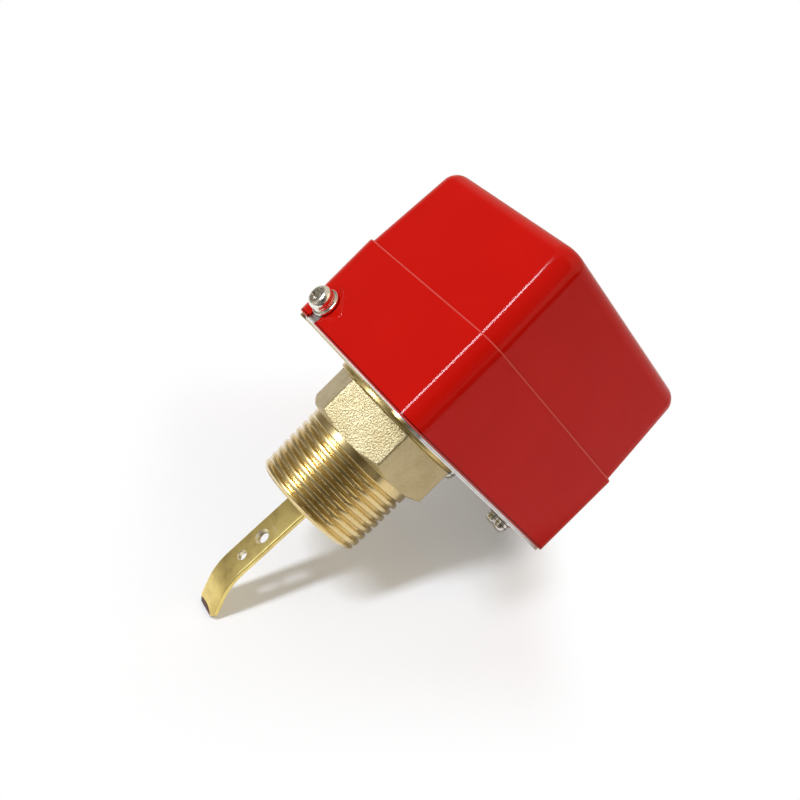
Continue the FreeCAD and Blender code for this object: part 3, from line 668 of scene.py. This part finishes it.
for x, y, side in SIDE_SCREWS:
    dish = raw_piece("dish", turned(DISH, 72))
    dish.data.transform(pose((x, y, SCREW_Z), (side, 0, 0)))
    slot = [(y + SLOT_HALF, RIM - 2)] + arc((y, SCREW_Z), SLOT_HALF, 0, 180, 20) + [(y - SLOT_HALF, RIM - 2)]
    carve(cover, dish, wall_cutter(x, 3, slot))
carve(cover, wall_cutter(LENGTH_TO, 4, circle((GROMMET_Y, GROMMET_Z), GROMMET_HOLE_R, 60)))
finish_piece(cover, red_enamel, "cover", "cover", sharp=40, even=True)

# %% [markdown]
# ## The pipe thread
# The brass body screws into a tee, so its thread is a one inch pipe thread: eleven turns to the inch, round
# at crest and root, and tapered. Near the hexagon the cutting die never reaches full depth, and leaves a
# plain band. A screw modifier could spin it, but it couldn't fade the depth out, so the thread is a fine
# grid wrapped round the body whose radius follows the helix.

# %% Wrap the thread round the body
def threaded_skin(radius_at, depth_at, pitch, z_values, around):
    """Loops up a threaded rod. radius_at and depth_at give the crest's radius and the depth at a height."""
    loops = []
    for z in z_values:
        loop = []
        for k in range(around):
            turn = k / around
            wave = 0.5 - 0.5 * math.cos(math.tau * (z / pitch + turn))
            groove = max(0.0, wave - 0.42) / 0.58
            r = radius_at(z) - depth_at(z) * (0.07 * wave + 0.93 * groove ** 1.2)
            loop.append((r * math.cos(math.tau * turn), r * math.sin(math.tau * turn), z))
        loops.append(loop)
    return loops


PITCH, MOUTH_Z, CREST_R, DEPTH = 2.309, -20.7, 16.62, 1.05
TAPER_FROM, TAPER, CHAMFER, CHAMFER_RUN = -10.4, 1 / 32, 1.2, 0.9
PLAIN_BAND, RUN_OUT = 1.7, 1.6
BORE_R, WIDE_BORE_R, THREAD_ROWS, THREAD_AROUND = 11.0, 11.5, 170, 176


def crest_radius(z):
    """Full size near the hexagon, then the taper, and a chamfer at the mouth."""
    taper = CREST_R + min(0.0, (z - TAPER_FROM) * TAPER)
    return min(taper, CREST_R - CHAMFER + (z - MOUTH_Z))


def thread_depth(z):
    """Full depth up to the run-out, then nothing on the plain band."""
    return DEPTH * smooth((-PLAIN_BAND - z) / RUN_OUT) * min(1.0, (z - MOUTH_Z) / CHAMFER_RUN)


bore = [(BORE_R, 12.1), (BORE_R, -0.9), (WIDE_BORE_R - 0.05, -1.0), (WIDE_BORE_R, -1.1)]
bore += [(WIDE_BORE_R, MOUTH_Z + 0.5), (11.9, MOUTH_Z), (15.2, MOUTH_Z), (CREST_R - 1.25, MOUTH_Z + 0.03)]
inner = [[(x, y, z) for x, y in circle((0, 0), r, THREAD_AROUND)] for r, z in bore]
outer = threaded_skin(crest_radius, thread_depth, PITCH, evenly(MOUTH_Z, 0, THREAD_ROWS), THREAD_AROUND)
thread = raw_piece("pipe_thread", skin(inner + outer, wrap=True))
finish_piece(thread, turned_brass, "housing", "brass_body", sharp=50)

# %% [markdown]
# ## The hexagon
# The hexagon is cast, and a lathe only takes its corners down where it meets the thread. That leaves a
# curved edge on each flat, where a cone cuts a flat plane. Each point of the rounded six-sided outline
# knows how far out it is, so it also knows at which height the cone reaches it.

# %% Shape the hexagon
HEX_FLATS, HEX_HEIGHT, HEX_CORNER_R, PER_SIDE = 35.5, 12.2, 0.9, 14
SHOULDER_R, CONE_RISE, CONE_OUT, NECK_R, HEX_BORE_R = 17.55, 1.8, 3.4, 15.6, 11.2


def hexagon_outline():
    """Six rounded corners, with each straight side cut into short steps for the cone to bend."""
    rounded = eased(circle((0, 0), HEX_FLATS / math.sqrt(3), 6), HEX_CORNER_R, 5)
    out = []
    for i, point in enumerate(rounded):
        after = rounded[(i + 1) % len(rounded)]
        steps = PER_SIDE if i % 6 == 5 else 1
        out += [tuple(Vector(point).lerp(Vector(after), k / steps)) for k in range(steps)]
    return out


def hexagon_profile(far):
    """Radius and height from the neck, over the cone and up the side, at a point that far out."""
    cone = max(0.05, (far - SHOULDER_R) * CONE_RISE / CONE_OUT)
    return [
        (NECK_R, 0.3), (NECK_R + 0.1, 0.0), (SHOULDER_R - 0.25, 0.0), (min(far, SHOULDER_R + 0.05), 0.12),
        (SHOULDER_R + (far - SHOULDER_R) * 0.955, cone * 0.94), (far - 0.01, cone + 0.15), (far, cone + 0.5),
        (far, HEX_HEIGHT - 0.5), (far - 0.05, HEX_HEIGHT - 0.22), (far - 0.22, HEX_HEIGHT - 0.05),
        (far - 0.5, HEX_HEIGHT), (HEX_BORE_R, HEX_HEIGHT),
    ]


columns = []
for x, y in hexagon_outline():
    far = math.hypot(x, y)
    columns.append([(x * r / far, y * r / far, z) for r, z in hexagon_profile(far)])
hexagon = raw_piece("hexagon", skin(list(zip(*columns)), wrap=True))
finish_piece(hexagon, cast_brass, "housing", "brass_body", sharp=50, even=True)

# %% [markdown]
# ## The clamp flange
# A turned brass ring sits between the hexagon and the plate, and four screws through it clamp them. Its
# rim is all that shows. Above the plate it carries the two ears that hold the paddle's pin.

# %% Turn the flange and its ears
PLATE_BOTTOM, PLATE_TOP, PIVOT_Z = 13.7, 14.5, 19.0
INNER_R, SPIGOT_R, STEP_R, FLANGE_R, FLANGE_TOP = 5.4, 9.0, 17.0, 20.0, 13.66
EAR_R, EAR_FOOT, EAR_FROM, EAR_TO, PIN_R = 3.5, 14.2, 5.5, 7.5, 1.0

corners = [(INNER_R, HEX_HEIGHT), (FLANGE_R, HEX_HEIGHT), (FLANGE_R, FLANGE_TOP), (STEP_R, FLANGE_TOP)]
corners += [(STEP_R, PLATE_BOTTOM), (SPIGOT_R, PLATE_BOTTOM), (SPIGOT_R, PLATE_TOP), (INNER_R, PLATE_TOP)]
flange = raw_piece("clamp_flange", turned(eased(corners, [0.2, 0.3, 0.3, 0.02, 0.05, 0.05, 0.2, 0.2]), 144))
ear_side = [(-EAR_R, EAR_FOOT), (EAR_R, EAR_FOOT)] + arc((0, PIVOT_Z), EAR_R, 0, 180, 24)


def ear_loop(y, less):
    """The ear's outline at one depth, drawn in a little on its two faces to ease their edges."""
    narrow, low = 1 - less / EAR_R, 1 - less / (PIVOT_Z - EAR_FOOT)
    return [(x * narrow, y, PIVOT_Z + (z - PIVOT_Z) * low) for x, z in ear_side]


ears = []
for side in (-1, 1):
    inner, outer, ease = side * EAR_FROM, side * EAR_TO, side * 0.2
    slices = [(inner, 0.15), (inner + ease, 0.0), (outer - ease, 0.0), (outer, 0.15)]
    ear = raw_piece("ear", closed_skin([ear_loop(y, less) for y, less in slices]))
    middle = (inner + outer) / 2
    hole = [[(x, middle + d, z) for x, z in circle((0, PIVOT_Z), PIN_R, 36)] for d in (-2, 2)]
    ears.append(carve(ear, raw_piece("pin_hole", closed_skin(hole))))
join(flange, *ears)
finish_piece(flange, sheet_brass, "housing", "pivot_flange", even=True)

# %% [markdown]
# ## The paddle arm
# The arm is a strip of rolled brass with a curved tip and two holes for longer blades. Rolled strip has
# soft edges, so its section is a rounded rectangle carried along the bend. A curve with a bevel profile
# could do that too, but the cut corners at the tip are easier on a mesh.

# %% Bend the arm
LEAN, BEND = math.radians(3.4), math.radians(29.5)
ARM_WIDTH, ARM_THICK, ARM_TOP = 9.0, 1.5, -1.0
BEND_Z, BEND_R, TAIL, TIP_CUT = -44.5, 18.3, 6.3, 1.3
lean = Matrix.Translation((0, 0, PIVOT_Z * MM)) @ Matrix.Rotation(LEAN, 4, "Y")
lean = lean @ Matrix.Translation((0, 0, -PIVOT_Z * MM))
straight = ARM_TOP - BEND_Z
middle_r = BEND_R - ARM_THICK / 2
full = straight + middle_r * BEND + TAIL
tip_width = ARM_WIDTH - 2 * TIP_CUT


def arm_station(length, width, thick=ARM_THICK, ease=0.42):
    """A rounded section at some length down the arm's middle line, across its local direction."""
    on_bend = min(max(length - straight, 0) / middle_r, BEND)
    past = max(length - straight - middle_r * BEND, 0)
    x = middle_r * (1 - math.cos(on_bend)) + past * math.sin(on_bend)
    z = ARM_TOP - min(length, straight) - middle_r * math.sin(on_bend) - past * math.cos(on_bend)
    outward = Vector((-math.cos(on_bend), 0, -math.sin(on_bend)))
    half, flat = width / 2, thick / 2
    section = eased([(-half, -flat), (half, -flat), (half, flat), (-half, flat)], ease, 4)
    return [tuple(Vector((x, 0, z)) + outward * t + Vector((0, y, 0))) for y, t in section]


loops = [arm_station(s, ARM_WIDTH) for s in evenly(0, full, 72) if s < full - TIP_CUT - 0.3]
loops += [
    arm_station(full - TIP_CUT - 0.15, ARM_WIDTH),
    arm_station(full - TIP_CUT, ARM_WIDTH - 0.12),
    arm_station(full - 0.25, tip_width + 0.4),
    arm_station(full - 0.08, tip_width, 1.3),
    arm_station(full, tip_width - 0.2, 1.0, 0.3),
]
arm = raw_piece("paddle_arm_strip", closed_skin(loops))

# %% [markdown]
# The upper hole is countersunk and tapped, with real ridges in its wall. The lower one is plain inside.

# %% Drill and tap the arm
TAPPED_Z, TAPPED_R, TAP_DEPTH, TAP_PITCH, PLAIN_Z = -34.4, 1.62, 0.22, 0.5, -41.6
tapped = [(0.01, -3), (TAPPED_R, -3)]
for k in range(3):
    z = -1.25 + k * TAP_PITCH
    tapped += [(TAPPED_R, z), (TAPPED_R + TAP_DEPTH, z + TAP_PITCH / 2)]
tapped += [(TAPPED_R, 0.25), (1.65, 0.25), (2.2, 0.76), (2.4, 0.95), (2.4, 3), (0.01, 3)]
plain = [(0.01, -3), (1.25, -3), (1.25, 0.5), (1.6, 0.85), (1.6, 3), (0.01, 3)]
for outline, z in ((tapped, TAPPED_Z), (plain, PLAIN_Z)):
    cutter = raw_piece("drill", turned(outline, 48))
    cutter.data.transform(pose((0, 0, z), (-1, 0, 0)))
    carve(arm, cutter)
arm.data.transform(lean)
finish_piece(arm, arm_brass, "paddle", "paddle_arm", sharp=40)

# %% [markdown]
# ## Screws and washers
# All the screws are pan heads with a cross recess, in three sizes. One function turns a head with its
# crown, cuts the cross into it and puts a real thread on the shank, and `stamp` sets copies down wherever
# the CAD has that screw. The lock washers are split, with the two ends cut on a slant.

# %% Make the screws
def pan_screw(shank_r, head_r, head_h, pitch, length):
    """A screw standing on Z: its head above zero, its threaded shank below."""
    crown = head_h * 0.68
    head = [(0.02, 0.0), (head_r - 0.08, 0.0), (head_r, 0.08), (head_r, head_h - crown)]
    for a in evenly(math.radians(15), math.radians(75), 4):
        head.append((head_r - crown * (1 - math.cos(a)) * 1.05, head_h - crown + crown * math.sin(a)))
    head += [(head_r * 0.45, head_h * 0.995), (0.02, head_h)]
    piece = raw_piece("screw_head", turned(head, 48))
    arm_half, reach, deep = head_r * 0.14, head_r * 0.62, head_h * 0.62
    for across, span in ((arm_half, reach), (reach, arm_half)):
        corners = [(-across, -span), (across, -span), (across, span), (-across, span)]
        ends = ((0.45, head_h - deep), (1.12, head_h + 0.3))
        recess = [[(x * s, y * s, z) for x, y in corners] for s, z in ends]
        carve(piece, raw_piece("recess", closed_skin(recess)))
    heights = evenly(-length, 0, max(24, int(length / pitch * 10)))
    rod = threaded_skin(lambda z: min(shank_r, shank_r - 0.3 + (z + length)), lambda z: pitch * 0.55,
                        pitch, heights, 28)
    return join(piece, raw_piece("shank", closed_skin(rod)))


def on_the_sides(out, twist=0.0):
    """The places of the two side screws, or of washers on them."""
    return [pose((x + side * out, y, SCREW_Z), (side, 0, 0), twist) for x, y, side in SIDE_SCREWS]


def under_the_foot(down, twist=0.0, spread=0):
    """The places of the three bracket screws, or of washers on them. spread makes their twists differ."""
    return [pose((x, y, PLATE_BOTTOM - down), (0, 0, -1), twist + x * spread) for x, y in BRACKET_SCREWS]


def set_down(name, node, template, places):
    """Copies of a small plated piece, in the place of a CAD part."""
    # the screws under the plate get the nickel that is painted paler to make up for their shade
    look = foot_nickel_painted_light if name.startswith("foot") else nickel
    finish_piece(stamp(name, template, places), look, "housing", node, sharp=38)
    bpy.data.objects.remove(template)


# each size: shank radius, head radius, head height and pitch
M4, M3, M25 = (1.95, 3.5, 2.6, 0.7), (1.45, 2.75, 2.0, 0.5), (1.2, 1.9, 1.9, 0.45)
BRACKET_SCREWS = [(38.0, -20.0), (40.2, -14.6), (29.5, -0.2)]
CLAMP_CIRCLE_R, CASE_FACE_Y, TERMINAL_TOP, WASHER_TOP = 14.3, -5.15, 51.1, 15.3
EARTH_XY = (38, 22)
# the last number of each place is how far that screw was turned home
SCREW_SETS = [
    ("side_screws", "cover_screws", M4, 6.5, on_the_sides(1.85, 25)),
    ("clamp_screws", "flange_screws", M4, 9.5,
     [pose((CLAMP_CIRCLE_R * cx, CLAMP_CIRCLE_R * cy, PLATE_TOP), (0, 0, 1), 20 * cx + 50 * cy)
      for cx, cy in ((1, 0), (0, 1), (-1, 0), (0, -1))]),
    ("earth_terminal_screw", "earth_screw", M4, 2.6, [pose((*EARTH_XY, WASHER_TOP), (0, 0, 1), 35)]),
    ("foot_screws", "bracket_screws", M25, 5.5, under_the_foot(1.9, 15, 7)),
    ("case_screws", "switch_screws", M3, 15.5,
     [pose((x, CASE_FACE_Y, z), (0, -1, 0), z * 9) for x, z in ((19.7, 37.4), (41.9, 47.5))]),
    ("wire_screws", "terminal_screws", M3, 4.5,
     [pose((x, 0, TERMINAL_TOP), (0, 0, 1), x * 11) for x in (20.5, 29.0, 37.5)]),
]
for name, node, size, length, places in SCREW_SETS:
    set_down(name, node, pan_screw(*size, length), places)

# %% [markdown]
# A flat washer is turned. A split one is a ring whose ends never meet, so its section is led round instead.

# %% Make the washers
M4_FLAT, M25_FLAT = (4.0, 2.1, 0.8), (2.4, 1.35, 0.8)
M4_SPLIT, M25_SPLIT = (3.5, 2.1, 1.0), (2.1, 1.35, 1.1)


def flat_washer(outer, inner, thick):
    outline = eased([(inner, 0), (outer, 0), (outer, thick), (inner, thick)], [0.1, 0.12, 0.22, 0.1])
    return raw_piece("flat_washer", turned(outline, 64))


def split_washer(outer, inner, thick, gap=12):
    """A squared ring, open at one place, whose ends are cut on a slant."""
    section = eased([(inner, 0), (outer, 0), (outer, thick), (inner, thick)], 0.12, 2)
    slant = math.degrees(thick / outer) * 0.9
    loops = []
    for angle in evenly(gap / 2, 360 - gap / 2, 72):
        turns = [math.radians(angle + slant * (0.5 - z / thick)) for r, z in section]
        loops.append([(r * math.cos(t), r * math.sin(t), z) for (r, z), t in zip(section, turns)])
    return raw_piece("split_washer", closed_skin(loops))


WASHER_SETS = [
    ("side_flat_washers", "cover_flat_washers", flat_washer(*M4_FLAT), on_the_sides(0.05)),
    ("side_lock_washers", "cover_spring_washers", split_washer(*M4_SPLIT), on_the_sides(0.85, 100)),
    ("foot_flat_washers", "bracket_flat_washers", flat_washer(*M25_FLAT), under_the_foot(0)),
    ("foot_lock_washers", "bracket_spring_washers", split_washer(*M25_SPLIT), under_the_foot(0.8, 160)),
    ("earth_flat_washer", "earth_washer", flat_washer(*M4_FLAT), [pose((*EARTH_XY, PLATE_TOP), (0, 0, 1))]),
]
for name, node, template, places in WASHER_SETS:
    set_down(name, node, template, places)

# %% [markdown]
# ## The range spring
# The spring stands on the rocker and is pressed by the square nut above it, so both of its ends move. It is
# a round wire led along a helix whose end turns lie closed, as the ends of a wound spring do. It is made as
# two halves that meet at the middle turn, which stands still. Both are fixed where they stand at rest and
# ride on no body, so neither follows the rocker or the nut here.

# %% Wind the spring
SPRING_X, COIL_R, WIRE_R, TURNS, CLOSED = 12.0, 2.9, 0.45, 7, 0.95
COIL_BOTTOM, COIL_TOP = 24.95, 40.50
MIDDLE = (COIL_BOTTOM + COIL_TOP) / 2


def spring_rise(turn):
    """How high the wire is after a number of turns. The first and the last turn lie against the next."""
    open_pitch = (COIL_TOP - COIL_BOTTOM - 2 * CLOSED) / (TURNS - 2)
    end_turns = min(turn, 1) + max(turn - TURNS + 1, 0)
    return COIL_BOTTOM + end_turns * CLOSED + (turn - end_turns) * open_pitch


def wound_wire(name, first, last, steps=40):
    loops = []
    for turn in evenly(first, last, round((last - first) * steps)):
        angle, z = math.tau * turn, spring_rise(turn)
        loops.append([(SPRING_X + (COIL_R + r) * math.cos(angle), (COIL_R + r) * math.sin(angle), z + rise)
                      for r, rise in circle((0, 0), WIRE_R, 24)])
    return raw_piece(name, closed_skin(loops))


def up_the_spring(*heights):
    return [(SPRING_X * MM, 0, z * MM) for z in heights]


lower = wound_wire("spring_lower_turns", 0, TURNS / 2)
finish_piece(lower, spring_steel, "paddle", "range_spring", sharp=60,
             bends=("housing", *up_the_spring(COIL_BOTTOM + CLOSED, MIDDLE)))
upper = wound_wire("spring_upper_turns", TURNS / 2, TURNS)
finish_piece(upper, spring_steel, "housing", "range_spring", sharp=60,
             bends=("seat", *up_the_spring(MIDDLE, COIL_TOP - CLOSED)))

# %% [markdown]
# ## The bellows
# The bellows keeps the water in while the stem swings. It is thin bronze, rolled into five folds, with its
# top cuff held in the flange and its lower end soldered to the cap on the stem. The outline is turned like
# any round part. Then its lower end is carried over to where the leaning cap holds it. The real one bends
# between the paddle and the housing; this piece is fixed in that place and rides on neither.

# %% Roll the bellows
CREST, ROOT, SHEET, FOLDS = 9.4, 7.4, 0.25, 5
CUFF_TOP, CUFF_END, CAP_END = 12.2, 10.7, 1.8
fold = (CUFF_END - CAP_END) / FOLDS
outside = [(ROOT, CUFF_TOP), (ROOT, CUFF_END)]
for k in range(FOLDS):
    outside += [(r, CUFF_END - (k + share) * fold)
                for r, share in ((CREST, 0.35), (CREST, 0.5), (ROOT, 0.85), (ROOT, 1.0))]
within = [(r - SHEET, z) for r, z in reversed(outside)]
bellows = raw_piece("rolled_bellows", turned(eased(outside + within, 0.08), 96))
for point in bellows.data.vertices:
    share = (CUFF_TOP * MM - point.co.z) / ((CUFF_TOP - CAP_END) * MM)
    point.co = point.co.lerp(lean @ point.co, smooth(share))
finish_piece(bellows, bronze, "paddle", "bellows", sharp=50,
             bends=("housing", (0, 0, CAP_END * MM), (0, 0, CUFF_TOP * MM)))

# %% [markdown]
# ## The cable grommet
# The cable goes in through a soft rubber ring in the far short side of the cover. Two lips hold the thin
# sheet between them. It is turned from one outline, with its outer lip well rounded, as moulded rubber is.

# %% Mould the grommet
CABLE_R, LIP_OUT, LIP_INSIDE, LIP_OUTSIDE = 6.0, 10.6, -3.0, 2.2
outline = [(CABLE_R, LIP_INSIDE), (LIP_OUT, LIP_INSIDE), (LIP_OUT, -WALL), (GROMMET_HOLE_R, -WALL)]
outline += [(GROMMET_HOLE_R, 0.0), (LIP_OUT, 0.0), (LIP_OUT, LIP_OUTSIDE), (CABLE_R, LIP_OUTSIDE)]
grommet = raw_piece("grommet_ring", turned(eased(outline, [0.4, 0.5, 0.2, 0.1, 0.1, 0.15, 1.3, 0.7]), 96))
grommet.data.transform(pose((LENGTH_TO, GROMMET_Y, GROMMET_Z), (1, 0, 0)))
finish_piece(grommet, rubber, "cover", "cable_grommet", sharp=45)

# %% [markdown]
# ## Table top and light
# The table is pale board. The light is one small tall soft box, up and to the left, and a dim room round
# it. A small lamp keeps the highlights narrow, and a tall one draws them out along the cover's corners
# and down the thread. The room is darker behind the lens, as a studio is, which puts the brown band on the
# thread and keeps the reds deep. A pale card to the right fills the far faces. The board glows for the
# lens alone, so the ground comes out white while the switch is lit at a plain level, and the glow is
# turned down under the switch, where its shadow falls.

# %% Lay the table
def disc(name, radius, rings, around):
    """A flat round sheet made of rings, on the table's plane."""
    radii = [radius * ring / rings for ring in range(1, rings + 1)]
    points, faces = skin([[on_table(x, y, 0) for x, y in circle((0, 0), r, around)] for r in radii])
    faces += [(len(points), i, (i + 1) % around) for i in range(around)]
    mesh = bpy.data.meshes.new(name)
    mesh.from_pydata(points + [on_table(0, 0, 0)], [], faces)
    return new_object(name, mesh)


table = disc("table", radius=2.2, rings=4, around=96)
with edited(table.data) as bm:
    bmesh.ops.recalc_face_normals(bm, faces=bm.faces)
    if sum((f.normal for f in bm.faces), Vector()).dot(up) < 0:
        bmesh.ops.reverse_faces(bm, faces=bm.faces)
print("table top:", round(on_table(0, 0, 0).length, 3), "m from the origin")

# %% [markdown]
# Only the lens sees the board glow. Near the switch the glow is held back in a soft rectangle, so that the
# shadow shows. Bright metal sees the board's front as dark, and from below the board can't be seen at all.

# %% Make the board
material, start, place = new_finish("table_board")
tooth = noise(place, 700, 3.0)
board = start.add("BsdfDiffuse", None, {
    "Color": tooth.blend((0.94, 0.94, 0.94), (0.96, 0.96, 0.96)),
    "Normal": bump(tooth, 0.00002),
})
to_right, to_front = along(place, *to_the_right), along(place, *toward_camera)
near_shadow = to_right.band((-0.080, -0.055), (0.036, 0.056))
near_shadow *= to_front.band((-0.090, -0.055), (0.040, 0.075))
share = 1 - near_shadow * 0.80
glow = start.add("Emission", None, {"Color": (1, 1, 1), "Strength": 1.0})
glowing = start.add("LightPath", output="Is Camera Ray") * share
seen = start.add("MixShader", None, {0: glowing, 1: board, 2: glow})
unlit = start.add("BsdfDiffuse", None, {"Color": (0.03, 0.03, 0.03)})
front = start.add("LightPath", output="Is Glossy Ray") * to_front.step(0.11, 0.15)
top = start.add("MixShader", None, {0: front, 1: seen, 2: unlit})
clear = start.add("BsdfTransparent")
behind = start.add("NewGeometry", output="Backfacing")
start.add("OutputMaterial", None, {"Surface": start.add("MixShader", None, {0: behind, 1: top, 2: clear})})
table.data.materials.append(material)
print("made", material.name)


# %% Hang the lamp
def soft_lamp(name, right, near, height, wide, tall, power, tint):
    """A soft box that faces the switch. It is tall along the switch's own long axis."""
    lamp = new_object(name, bpy.data.lights.new(name, "AREA"))
    lamp.data.shape = "RECTANGLE"
    lamp.data.size, lamp.data.size_y = wide, tall
    lamp.data.energy = power
    lamp.data.color = tint
    lamp.location = on_table(right, near, height)
    aim = on_table(0, 0, 0.03) - lamp.location
    lamp.rotation_euler = aim.to_track_quat("-Z", "Y").to_euler()


soft_lamp("main_lamp", right=-0.249, near=0.060, height=0.569, wide=0.080, tall=0.23,
          power=2.4, tint=(0.94, 1.0, 1.13))

# %% Paint the room
world = bpy.data.worlds.new("room")
scene.world = world
world.use_nodes = True
world.node_tree.nodes.clear()
start = Value(world.node_tree)
toward = start.add("TexCoord", output="Generated")


def patch(direction, inner, outer):
    """1 near a direction given as right, near and up, falling to 0 at the outer angle in degrees."""
    right, near, height = direction
    middle = (to_the_right * right + toward_camera * near + up * height).normalized()
    edges = [math.cos(math.radians(a)) for a in (outer, inner)]
    return along(toward, *middle).step(*edges)


far_left = patch((-0.69, -0.47, 0.50), inner=20, outer=45)
round_the_lens = patch((-0.1, 0.80, 0.60), inner=38, outer=52)
dark = patch((0.0, 0.82, 0.57), inner=9, outer=22)
card = patch((0.85, 0.35, 0.40), inner=15, outer=48)
walls = card.blend((0.64, 0.585, 0.475), (1.22, 1.06, 0.80))
walls = (far_left + round_the_lens).clamped().blend(walls, (0.20, 0.18, 0.15))
room = start.add("Background", None, {"Color": dark.blend(walls, (0.048, 0.035, 0.018))})
white = start.add("Background", None, {"Color": (1, 1, 1), "Strength": 1.0})
direct = start.add("LightPath", output="Is Camera Ray")
start.add("OutputWorld", None, {"Surface": start.add("MixShader", None, {0: direct, 1: room, 2: white})})
print("made the", world.name)
